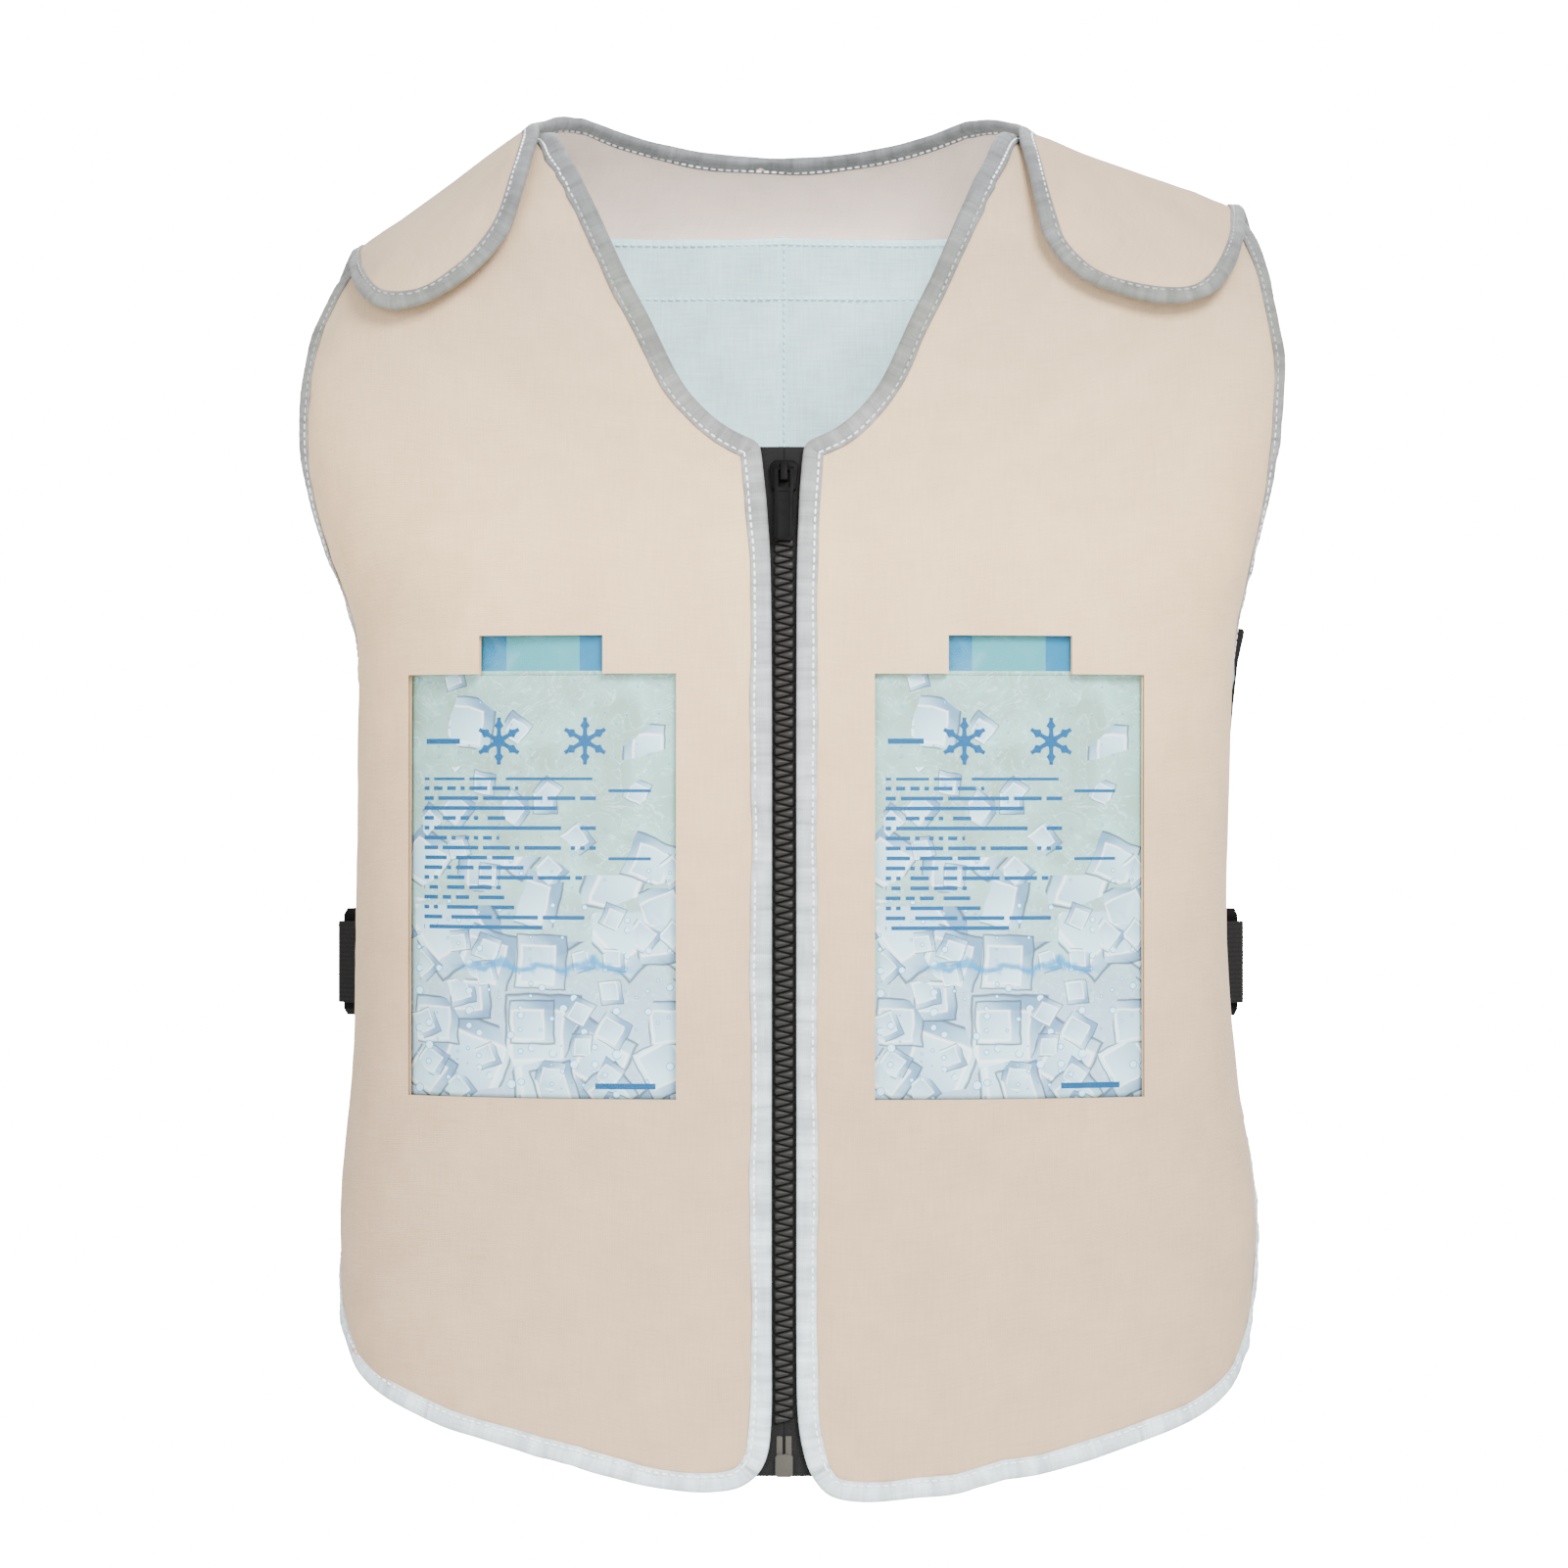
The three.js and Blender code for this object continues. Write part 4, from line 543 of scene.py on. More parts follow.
def make_piece(name, points, faces, material, uv=None, other_uv=None, thickness=None, inside=None):
    """A mesh object from arrays of points and four-cornered faces, with its pattern maps, riding the vest. A
    cloth gets a wall to both sides of its points, and may have its own material inside."""
    mesh = bpy.data.meshes.new(name)
    mesh.from_pydata(points.reshape(-1, 3).tolist(), [], faces.tolist())
    for layer_name, values in (("cloth", uv), ("pack", other_uv)):
        if values is not None:
            layer = mesh.uv_layers.new(name=layer_name)
            layer.data.foreach_set("uv", values.reshape(-1, 2)[faces.ravel()].astype(np.float32).ravel())
    mesh.polygons.foreach_set("use_smooth", np.full(len(faces), True))
    mesh.materials.append(material)
    mesh.validate()
    piece = bpy.data.objects.new(name, mesh)
    bpy.context.scene.collection.objects.link(piece)
    if thickness:
        wall = piece.modifiers.new("Wall", "SOLIDIFY")
        wall.thickness = thickness
        wall.offset = 0
        if inside:
            mesh.materials.append(inside)
            wall.material_offset = 1
    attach(piece, "vest")
    return piece


def cloth_map(points, start):
    """Distances across and down a grid of cloth, so that a weave keeps its size: rows walked from a start."""
    across = np.linalg.norm(np.diff(points, axis=1), axis=2)
    down = np.linalg.norm(np.diff(points, axis=0), axis=2)
    u = np.concatenate([np.zeros((len(points), 1)), np.cumsum(across, 1)], 1) + start[:, None]
    v = np.concatenate([np.zeros((1, points.shape[1])), np.cumsum(down, 0)], 0)
    return np.stack([u, v], -1)


def patch(lower, upper, starts, ends):
    """Places between four edges: the blend of opposite edges, less that of the four corners."""
    u = np.linspace(0, 1, len(lower))[None, :, None]
    v = np.linspace(0, 1, len(starts))[:, None, None]
    low, high, near, far = lower[None], upper[None], starts[:, None], ends[:, None]
    low_corners = (1 - u) * low[:, :1] + u * low[:, -1:]
    high_corners = (1 - u) * high[:, :1] + u * high[:, -1:]
    corners = (1 - v) * low_corners + v * high_corners
    return (1 - v) * low + v * high + (1 - u) * near + u * far - corners


def lifted_points(chart, places):
    """Points of places on the chart's own surface."""
    return lifted(chart, places, np.zeros(len(places)))


def edge_distance(points, axis, end):
    """The distance of each point of a grid from one of its edges."""
    return np.linalg.norm(points - np.take(points, [end], axis), axis=2)


# How far a cloth's edge lies in under its binding
CLOTH_TUCK = 0.003
# Soft folds of the cloth: their height and length, and the way from the edge in which they rise
FOLD_HEIGHT = 0.0019
FOLD_LENGTH = 0.1
FOLD_RISE = 0.04
# Puckers beside the seams: their height and length, how far in they fade, and how far in they start
PUCKER_HEIGHT = 0.00042
PUCKER_LENGTH = 0.018
PUCKER_FADE = 0.02
PUCKER_START = 0.009


def cloth_lift(uv, far_in, seed):
    """How far a cloth stands off the form: soft folds away from its edge, and puckers that fade away from
    it."""
    folds = 0.5 + 0.5 * ripples(uv[..., 0], 0.45 * uv[..., 1], FOLD_LENGTH, seed)
    puckers = ripples(uv[..., 0], uv[..., 1], PUCKER_LENGTH, seed + 1) * np.exp(-far_in / PUCKER_FADE)
    lift = FOLD_HEIGHT * folds * smooth_step(far_in / FOLD_RISE)
    return lift + PUCKER_HEIGHT * puckers * smooth_step(far_in / PUCKER_START)


def sheet_on(chart, loop, corners, turning, cells, name, material, seed, pack_centre=None):
    """A sheet of cloth inside a loop: its edge lies a little under the binding, and it is gently uneven. A
    front has a second map that says where its pack lies, and the same cloth inside as outside."""
    _, inward, _ = along_loop(chart, loop, turning)
    edge = moved(chart, loop, inward * CLOTH_TUCK)
    count = len(loop)
    spots = lifted_points(chart, loop)
    ways_off = [np.linalg.norm(spots - lifted_points(chart, corner[None]), axis=1) for corner in corners]
    nearest = [int(np.argmin(way_off)) for way_off in ways_off]
    sides = []
    for k, (start, end) in enumerate(zip(nearest, nearest[1:] + nearest[:1])):
        picked = edge[(start + np.arange((end - start) % count + 1)) % count]
        distances = walked(chart, picked)
        sides.append(read_line(picked, distances, np.linspace(0, distances[-1], cells[k % 2] + 1)))
    lower, outer, upper, inner = sides
    places = patch(lower, upper[::-1], inner[::-1], outer)
    points = lifted(chart, places, np.zeros(places.shape[:2]))
    uv = cloth_map(points, np.abs(points[:, 0, 0]))
    far_in = np.minimum.reduce([edge_distance(points, axis, end) for axis in (0, 1) for end in (0, -1)])
    points = lifted(chart, places, cloth_lift(uv, far_in, seed))
    faces = grid_faces(*places.shape[:2])
    normal = np.cross(points[1, 0] - points[0, 0], points[0, 1] - points[0, 0])
    if np.dot(normal, ways(chart, places[0, 0])[2]) > 0:
        faces = faces[:, ::-1]
    scene = bpy.context.scene
    if pack_centre is None:
        on_pack = None
        # The inner face's range of 0.9 to 1.08 lifts it past its own colour: painted light inside the vest,
        # over the weave's random tone
        inside = shared("inner_cloth", plain_cloth, scene.vest_colours.inner, 1300.0, 0.9, 1.08)
    else:
        on_pack = np.stack([points[..., 0], points[..., 2]], -1) - pack_centre
        inside = material
    return make_piece(name, points, faces, material, uv, on_pack, scene.vest_shape.cloth, inside), points


# Slow changes of a binding's width: their share of it, and the shortest and longest of their lengths
WIDTH_CHANGE = 0.09
WIDTH_WAVES = (0.03, 0.12)
# Heights of the dimple at each stitch and of the creases across the tape, and the creases' length and slant
DIMPLE = 0.00012
CREASE = 0.00055
CREASE_LENGTH = 0.02
CREASE_SLANT = 0.009


def bind_loop(chart, loop, turning, wide, name, material, seed):
    """A binding tape folded over a loop's edge: its section is carried round the loop, at one width or at one
    for each of the loop's places, a little uneven, dimpled by its stitches and creased across."""
    shape = bpy.context.scene.vest_shape
    _, inward, _ = along_loop(chart, loop, turning)
    walk = walked(chart, loop, True)
    distances, total = walk[:-1], walk[-1]
    around = 2 * math.pi * distances / total
    rng = np.random.default_rng(seed)
    beats = np.round(total / rng.uniform(*WIDTH_WAVES, 5))
    uneven = sum(np.sin(around * beat + phase) for beat, phase in zip(beats, rng.uniform(0, 6.28, 5))) / 5
    width = wide * (1 + WIDTH_CHANGE * uneven)
    dimples = np.sin(around * np.round(total / shape.stitch))
    rings = []
    for share, height in BINDING_SECTION:
        places = moved(chart, loop, inward * (share * width)[:, None])
        slanted = distances + share * CREASE_SLANT
        creases = ripples(slanted, 0 * slanted + share * 0.004, CREASE_LENGTH, seed + 3)
        creases = creases * smooth_step(4 * (1 - share))
        full = math.copysign(math.sin(math.pi * min(share, 1)), height)
        rings.append(lifted(chart, places, height * MM + full * (DIMPLE * dimples + CREASE * creases)))
    points = np.stack(rings, 1)
    v = np.repeat(distances[:, None], len(rings), 1)
    u = np.repeat(np.linspace(0, 2 * shape.binding, len(rings))[None], len(loop), 0)
    faces = turned_out(points.reshape(-1, 3), grid_faces(len(loop), len(rings), True, True))
    return make_piece(name, points, faces, material, np.stack([u, v], -1)), width


STITCH_LENGTH = 0.0025
STITCH_RADIUS = 0.00052
# The seam's way in over a binding, as a share of the binding's width, and its height over the cloth's middle
SEAM_SHARE = 0.8
SEAM_LIFT = 1.8 * MM


def stitch_shape():
    """One stitch: a bar of six sides that narrows at both ends, along its first axis."""
    stations = np.array([-0.5, -0.36, 0.36, 0.5]) * STITCH_LENGTH
    radii = np.array([0.35, 1, 1, 0.35]) * STITCH_RADIUS
    angle = np.arange(6) * math.pi / 3
    ring = np.stack([0 * angle, np.cos(angle), np.sin(angle)], -1)
    rings = [ring * radius + (station, 0, 0) for station, radius in zip(stations, radii)]
    faces = np.vstack([grid_faces(4, 6, wrap_columns=True), fan_caps(0, 6)[:, ::-1], fan_caps(18, 6)])
    points = np.vstack(rings)
    return points, turned_out(points, faces)


def repeated(faces, times, count):
    """Faces of a shape with a count of points, repeated for copies of it that follow each other."""
    return (faces[None] + np.arange(times)[:, None, None] * count).reshape(-1, 4)


def stitch_line(name, centres, along, outward, material):
    """Stitches at centres along a seam: copies of one stitch with its axes along the seam, across it and
    outwards."""
    points, faces = stitch_shape()
    axes = (along, np.cross(outward, along), outward)
    copies = centres[:, None] + sum(points[None, :, k, None] * axis[:, None] for k, axis in enumerate(axes))
    return make_piece(name, copies.reshape(-1, 3), repeated(faces, len(centres), len(points)), material)


def stitch_loop(chart, loop, turning, width, name, material):
    """Stitches round a binding, on its outer and its inner face, a fifth of its width from its inner
    border."""
    shape = bpy.context.scene.vest_shape
    _, inward, _ = along_loop(chart, loop, turning)
    seam = moved(chart, loop, inward * (SEAM_SHARE * width)[:, None])
    distances = walked(chart, seam, True)
    at = np.arange(0, distances[-1], shape.stitch)
    half = STITCH_LENGTH * 0.24
    rows = []
    for lift in (SEAM_LIFT, -SEAM_LIFT):
        here, there = (read_line(seam, distances, at + shift, True) for shift in (-half, half))
        centre = read_line(seam, distances, at, True)
        level = np.full(len(centre), lift)
        along = unit(lifted(chart, there, level) - lifted(chart, here, level))
        rows.append((lifted(chart, centre, level), along, ways(chart, centre)[2]))
    centres, along, outward = (np.concatenate(parts) for parts in zip(*rows))
    return stitch_line(name, centres, along, outward, material)


def bound_edge(chart, loop, turning, wide, name, seed):
    """The binding round a loop and the stitches that hold it."""
    tape = shared("binding_tape", tape_material)
    binding, width = bind_loop(chart, loop, turning, wide, f"{name}_tape", tape, seed)
    thread = shared("binding_thread", thread_material)
    stitches = stitch_loop(chart, loop, turning, width, f"{name}_stitches", thread)
    return binding, stitches


def front_edges(form, side):
    """The four edges of a front: hem, side with armhole, shoulder line, and zip with neckline."""
    shape, sign = form.shape, SIDES[side]
    length = shape.body_length
    neck_half = shape.neck_left if sign > 0 else shape.neck_right
    heights = -length * ZIP_HEIGHTS
    heights = np.r_[heights, -shape.neck_front * 1.1, -shape.neck_front]
    opening = shape.zip_opening * (0.5 + read_table(ZIP_FLARE, -heights / length, 2 if sign > 0 else 1))
    zip_edge = form.round_place(sign * opening, heights)
    neck = form.round_place(sign * NECKLINE[:, 0] * neck_half, -NECKLINE[:, 1] * shape.neck_front)
    hem = FRONT_HEM[side]
    hem = form.round_place(sign * hem[:, 0] * shape.chest_half_width, -hem[:, 1] * length)
    hem = np.vstack([zip_edge[:1], hem])
    down, turn = FRONT_SIDE[side].T
    turn = sign * np.radians(turn)
    x = form.reach(turn, -down * length) * np.sin(turn)
    side_edge = np.stack([turn, form.run(form.crest(x) + down * length)], -1)
    reach = shape.left_reach if sign > 0 else shape.right_reach
    crest_x = sign * np.linspace(NECKLINE[-1, 0] * neck_half, reach, 9)
    crest = form.round_place(crest_x, form.crest(crest_x))
    return [
        smooth_line(hem),
        smooth_line(np.vstack([hem[-1:], side_edge, crest[-1:]]), 300),
        smooth_line(crest[::-1]),
        np.vstack([smooth_line(np.vstack([zip_edge[-1:], neck[1:]]))[::-1], smooth_line(zip_edge[::-1])[1:]]),
    ]


def back_edges(form):
    """The four edges of the back with its flaps: hem, right side, the top round both flaps and the neck, and
    left side."""
    shape = form.shape
    length = shape.body_length

    def turned(rows, sign):
        turn = np.radians(rows[:, 1]) * sign
        return form.over_place(turn, -rows[:, 0] * length)

    def flap(sign):
        reach, flap_length, neck_half = (
            (shape.left_reach, shape.left_flap, shape.neck_left)
            if sign > 0
            else (shape.right_reach, shape.right_flap, shape.neck_right)
        )
        out = neck_half + (reach - neck_half) * FLAP_EDGE[:, 0]
        return np.stack([sign * out, -FLAP_EDGE[:, 1] * flap_length], -1)

    hem = turned(BACK_HEM, 1)
    hem[-1, 0] = 0
    hem = np.vstack([hem, turned(BACK_HEM, -1)[-2::-1]])
    neck_x = np.r_[-BACK_NECKLINE[::-1, 0] * shape.neck_right, BACK_NECKLINE[1:, 0] * shape.neck_left]
    neck_down = np.r_[BACK_NECKLINE[::-1, 1], BACK_NECKLINE[1:, 1]] * shape.neck_back
    neck = np.stack([neck_x, form.run(form.crest(neck_x) + neck_down)], -1)
    corner = FLAP_CORNER
    right, left = flap(-1), flap(1)
    top = np.vstack([right[corner::-1], neck[1:-1], left[: corner + 1]])
    right_side = np.vstack([hem[-1:], turned(BACK_SIDE, -1), right[:corner - 1 : -1]])
    left_side = np.vstack([hem[:1], turned(BACK_SIDE, 1), left[:corner - 1 : -1]])
    return [
        smooth_line(hem, 300),
        smooth_line(right_side, 400),
        smooth_line(top, 500),
        smooth_line(left_side, 400)[::-1],
    ]


class Nodes:
    """Adds nodes to a tree and links them, with unlinked values set in place."""

    def __init__(self, tree):
        self.tree = tree

    def feed(self, socket, value):
        """Links a socket to another node's output, or sets its own value."""
        if isinstance(value, bpy.types.NodeSocket):
            self.tree.links.new(value, socket)
        else:
            socket.default_value = value

    def add(self, kind, inputs=(), **settings):
        """A node with its settings and inputs."""
        node = self.tree.nodes.new(kind)
        for key, value in settings.items():
            setattr(node, key, value)
        for key, value in dict(inputs).items():
            self.feed(node.inputs[key], value)
        return node

    def math(self, operation, *values):
        """A sum on numbers."""
        return self.add("ShaderNodeMath", dict(enumerate(values)), operation=operation).outputs[0]

    def product(self, first, *others):
        """Numbers multiplied together."""
        for other in others:
            first = self.math("MULTIPLY", first, other)
        return first

    def off(self, value, centre):
        """How far a number is from a centre, either way."""
        return self.math("ABSOLUTE", self.math("SUBTRACT", value, centre))

    def vector(self, operation, *values):
        """A sum on places."""
        return self.add("ShaderNodeVectorMath", dict(enumerate(values)), operation=operation).outputs[0]

    def mix(self, factor, first, second, blend="MIX"):
        """One colour passing into another."""
        node = self.add("ShaderNodeMix", data_type="RGBA", blend_type=blend)
        for name, value in (("Factor", factor), ("A", first), ("B", second)):
            self.feed(next(s for s in node.inputs if s.name == name and s.enabled), value)
        return next(s for s in node.outputs if s.enabled)

    def ramp(self, value, low, high, to_low=0.0, to_high=1.0):
        """A straight change between two values, level beyond them."""
        inputs = {"Value": value, "From Min": low, "From Max": high, "To Min": to_low, "To Max": to_high}
        return self.add("ShaderNodeMapRange", inputs).outputs["Result"]

    def noise(self, place, scale, detail, **more):
        """Cloudy noise between 0 and 1."""
        inputs = {"Vector": place, "Scale": scale, "Detail": detail, **more}
        return self.add("ShaderNodeTexNoise", inputs).outputs["Fac"]

    def cells(self, place, scale, randomness):
        """The nearest of the points strewn over a flat map."""
        inputs = {"Vector": place, "Scale": scale, "Randomness": randomness}
        return self.add("ShaderNodeTexVoronoi", inputs, voronoi_dimensions="2D", feature="F1").outputs

    def split(self, place):
        """A place's own three numbers."""
        return self.add("ShaderNodeSeparateXYZ", {0: place}).outputs

    def object_place(self):
        """The place in the vest's own space, in metres."""
        return self.add("ShaderNodeTexCoord").outputs["Object"]

    def map_place(self, name):
        """The place on one of a piece's own maps, in metres."""
        return self.add("ShaderNodeUVMap", uv_map=name).outputs["UV"]


def opaque(colour):
    """A colour with its alpha."""
    return (*colour, 1.0)


def new_group(name, inputs, outputs):
    """A shader node group with named sockets, given as name to kind and default."""
    group = bpy.data.node_groups.new(name, "ShaderNodeTree")
    for socket, (kind, default) in inputs.items():
        made = group.interface.new_socket(socket, in_out="INPUT", socket_type=kind)
        if default is not None:
            made.default_value = default
    for socket, kind in outputs.items():
        group.interface.new_socket(socket, in_out="OUTPUT", socket_type=kind)
    nodes = Nodes(group)
    return nodes, nodes.add("NodeGroupInput").outputs, nodes.add("NodeGroupOutput").inputs


FLOAT, COLOUR, VECTOR = "NodeSocketFloat", "NodeSocketColor", "NodeSocketVector"


def weave_group():
    """Threads over and under each other: each is a sine ridge, and a chequer says which of the two lies on
    top. Uneven yarn comes from noise drawn out along each thread, and a soft blotch from coarse noise. The
    shade is that yarn and blotch tone at random, with a painted highlight on the threads' crowns and painted
    shade between them."""
    name = "Woven Threads"
    if name in bpy.data.node_groups:
        return bpy.data.node_groups[name]
    nodes, given, result = new_group(
        name,
        {
            "Place": (VECTOR, None),
            "Threads per Metre": (FLOAT, 1400.0),
            "Yarn Unevenness": (FLOAT, 0.5),
            "Blotch": (FLOAT, 0.5),
        },
        {"Shade": FLOAT, "Height": FLOAT},
    )
    place = given["Place"]
    values = {0: place, "Scale": given["Threads per Metre"]}
    scaled = nodes.add("ShaderNodeVectorMath", values, operation="SCALE")
    split = nodes.split(scaled.outputs[0])
    ridges = [nodes.math("ABSOLUTE", nodes.math("SINE", nodes.product(split[k], math.pi))) for k in (0, 1)]
    floors = nodes.math("ADD", nodes.math("FLOOR", split[0]), nodes.math("FLOOR", split[1]))
    over = nodes.math("PINGPONG", floors, 1.0)
    warp = nodes.product(ridges[0], nodes.math("MULTIPLY_ADD", ridges[1], 0.4, 0.6))
    weft = nodes.product(ridges[1], nodes.math("MULTIPLY_ADD", ridges[0], 0.4, 0.6))
    threads = nodes.add("ShaderNodeMix", {"Factor": over, "A": warp, "B": weft}).outputs[0]
    drawn = [nodes.vector("MULTIPLY", place, way) for way in ((60.0, 900.0, 1.0), (900.0, 60.0, 1.0))]
    yarn = nodes.math("SUBTRACT", nodes.math("ADD", *(nodes.noise(way, 1.0, 2.0) for way in drawn)), 1.0)
    blotch = nodes.math("SUBTRACT", nodes.noise(place, 38.0, 4.0, Roughness=0.6), 0.5)
    shade = nodes.product(yarn, given["Yarn Unevenness"])
    shade = nodes.math("MULTIPLY_ADD", blotch, given["Blotch"], shade)
    # Painted highlight on the crowns of the threads and painted shade in the dips between them, added to the
    # random tone
    shade = nodes.math("MULTIPLY_ADD", nodes.math("SUBTRACT", threads, 0.5), 0.12, shade)
    nodes.feed(result["Shade"], nodes.math("ADD", shade, 0.5))
    nodes.feed(result["Height"], nodes.math("MULTIPLY_ADD", yarn, 0.6, threads))
    return nodes.tree


def grain_group():
    """The fine grain of moulded plastic: noise of two sizes, and scuffs where coarse noise is high."""
    name = "Moulded Grain"
    if name in bpy.data.node_groups:
        return bpy.data.node_groups[name]
    nodes, given, result = new_group(
        name,
        {"Place": (VECTOR, None), "Grain per Metre": (FLOAT, 2500.0), "Scuffs": (FLOAT, 0.3)},
        {"Height": FLOAT, "Wear": FLOAT},
    )
    wear = nodes.ramp(nodes.noise(given["Place"], 240.0, 5.0), 0.5, 0.8)
    nodes.feed(result["Height"], nodes.noise(given["Place"], given["Grain per Metre"], 2.0))
    nodes.feed(result["Wear"], nodes.product(wear, given["Scuffs"]))
    return nodes.tree


def start_material(name, roughness, **sockets):
    """A material with its shader, whose own sockets take the values that are the same all over."""
    material = bpy.data.materials.new(name)
    material.use_nodes = True
    nodes = Nodes(material.node_tree)
    shader = material.node_tree.nodes["Principled BSDF"].inputs
    shader["Roughness"].default_value = roughness
    for socket, value in sockets.items():
        shader[socket.replace("_", " ")].default_value = value
    return material, nodes, shader


def bump(nodes, shader, height, strength, distance):
    """Feeds the shader's normal from a height."""
    made = nodes.add("ShaderNodeBump", {"Height": height, "Strength": strength, "Distance": distance})
    nodes.feed(shader["Normal"], made.outputs["Normal"])


def woven(nodes, threads, uneven, blotch):
    """The shared weave, laid on a piece's own cloth map."""
    values = {
        "Place": nodes.map_place("cloth"),
        "Threads per Metre": threads,
        "Yarn Unevenness": uneven,
        "Blotch": blotch,
    }
    made = nodes.add("ShaderNodeGroup", values, node_tree=weave_group()).outputs
    return made["Shade"], made["Height"]


def by_height(nodes, heights, colours):
    """A colour that changes with height on the vest: one for each of the heights given from the lowest up."""
    height = nodes.split(nodes.object_place())["Z"]
    result = opaque(colours[0])
    for low, high, colour in zip(heights, heights[1:], colours[1:]):
        result = nodes.mix(nodes.ramp(height, low, high), result, opaque(colour))
    return result


def shaded(nodes, base, shade, darkest, lightest):
    """A colour made darker and lighter by a shade between 0 and 1."""
    dark, light = (nodes.mix(1.0, base, opaque([level] * 3), "MULTIPLY") for level in (darkest, lightest))
    return nodes.mix(shade, dark, light)


def boxed(nodes, split, x, y, half_x, half_y):
    """1 within an oblong of a map and 0 outside it."""
    across = nodes.math("LESS_THAN", nodes.off(split["X"], x), half_x)
    along = nodes.math("LESS_THAN", nodes.off(split["Y"], y), half_y)
    return nodes.product(across, along)


# How far in from its pack's outline the see-through place of a front ends: at each side, and at the top of
# the pack and of its neck
WINDOW_SIDE = 0.0006
WINDOW_TOP = 0.0014
# How see-through it is, and how far off square it is seen when it begins to close and has closed
WINDOW_CLEAR = 0.99
WINDOW_CLOSING = (0.72, 0.9)


def pack_window(nodes):
    """1 where a pack shows through its front and 0 elsewhere: the pack's oblong and its neck's, unless the
    cloth is seen along its surface."""
    shape = bpy.context.scene.vest_shape
    split = nodes.split(nodes.map_place("pack"))
    half_x, half_y = shape.pack_width / 2 - WINDOW_SIDE, (shape.pack_height - WINDOW_TOP) / 2
    body = boxed(nodes, split, 0.0, -half_y - WINDOW_TOP, half_x, half_y)
    half_x, half_y = shape.pack_neck_width / 2 - WINDOW_SIDE, shape.pack_neck_height / 2
    neck = boxed(nodes, split, 0.0, half_y - WINDOW_TOP, half_x, half_y)
    facing = nodes.add("ShaderNodeLayerWeight", {"Blend": 0.5}).outputs["Facing"]
    return nodes.product(nodes.math("MAXIMUM", body, neck), nodes.ramp(facing, *WINDOW_CLOSING, 1.0, 0.0))


def beige_cloth(name, windowed=False):
    """The outer cloth: a close weave, warmer over the chest and cooler near the hem. A front lets its pack
    show through."""
    colours = bpy.context.scene.vest_colours
    material, nodes, shader = start_material(name, 0.9, Sheen_Weight=0.1, Sheen_Roughness=0.5)
    shade, height = woven(nodes, 1300.0, 0.6, 1.0)
    base = by_height(nodes, (-0.45, -0.2, -0.07), (colours.belly, colours.chest, colours.flap))
    nodes.feed(shader["Base Color"], shaded(nodes, base, shade, 0.82, 1.13))
    bump(nodes, shader, height, 0.35, 0.0003)
    if windowed:
        nodes.feed(shader["Alpha"], nodes.math("MULTIPLY_ADD", pack_window(nodes), -WINDOW_CLEAR, 1.0))
    return material


def tape_material(name):
    """Binding tape: a fine close weave with a soft sheen and small creases across it, grey round the neck and
    almost white at the hem. The creases are bumped and also carry painted shade in their folds and a painted
    highlight between them."""
    colours = bpy.context.scene.vest_colours
    material, nodes, shader = start_material(name, 0.5, Sheen_Weight=0.15, Sheen_Roughness=0.4)
    shade, height = woven(nodes, 2200.0, 0.8, 1.6)
    tones = (colours.hem_tape, colours.zip_tape, colours.flap_tape, colours.neck_tape)
    base = by_height(nodes, (-0.58, -0.24, -0.1, -0.025), tones)
    drawn = nodes.add("ShaderNodeMapping", {"Vector": nodes.map_place("cloth"), "Scale": (30.0, 150.0, 1.0)})
    creases = nodes.ramp(nodes.noise(drawn.outputs[0], 1.0, 3.0, Distortion=0.6), 0.34, 0.66)
    # Painted shade in the creases and painted highlight between them: the same noise that bumps the tape
    # darkens and lightens its colour
    base = shaded(nodes, base, creases, 0.74, 1.1)
    nodes.feed(shader["Base Color"], shaded(nodes, base, shade, 0.72, 1.2))
    bump(nodes, shader, nodes.math("MULTIPLY_ADD", creases, 4.0, height), 0.7, 0.0002)
    return material


def plain_cloth(name, colour, threads, darkest=0.76, lightest=1.16, strength=0.35):
    """Any other woven piece."""
    material, nodes, shader = start_material(name, 0.88, Specular_IOR_Level=0.3)
    shade, height = woven(nodes, threads, 0.8, 1.2)
    base = nodes.add("ShaderNodeRGB").outputs[0]
    base.default_value = opaque(colour)
    nodes.feed(shader["Base Color"], shaded(nodes, base, shade, darkest, lightest))
    bump(nodes, shader, height, strength, 0.0003)
    return material


def thread_material(name):
    """Sewing thread: white, and as grey as their tape round the flaps."""
    colours = bpy.context.scene.vest_colours
    material, nodes, shader = start_material(name, 0.8, Specular_IOR_Level=0.3)
    fibre = nodes.noise(nodes.object_place(), 1800.0, 2.0)
    tones = (colours.thread, colours.flap_thread, colours.flap_thread, colours.thread)
    base = by_height(nodes, (-0.17, -0.12, -0.045, -0.025), tones)
    nodes.feed(shader["Base Color"], shaded(nodes, base, fibre, 0.9, 1.03))
    bump(nodes, shader, fibre, 0.3, 0.0002)
    return material


def paler(colour, times, more):
    """A colour multiplied and then raised a little."""
    return opaque([min(1, v * times + more) for v in colour])


def moulded(name, colour, shine=0.08, roughness=0.5):
    """Moulded plastic: fine grain and slight scuffs."""
    material, nodes, shader = start_material(name, roughness, Specular_IOR_Level=shine)
    grain = nodes.add("ShaderNodeGroup", {"Place": nodes.object_place()}, node_tree=grain_group())
    wear = grain.outputs["Wear"]
    nodes.feed(shader["Base Color"], nodes.mix(wear, opaque(colour), paler(colour, 1.5, 0.002)))
    nodes.feed(shader["Roughness"], nodes.ramp(wear, 0.0, 0.3, roughness, roughness + 0.2))
    bump(nodes, shader, grain.outputs["Height"], 0.15, 0.0001)
    return material


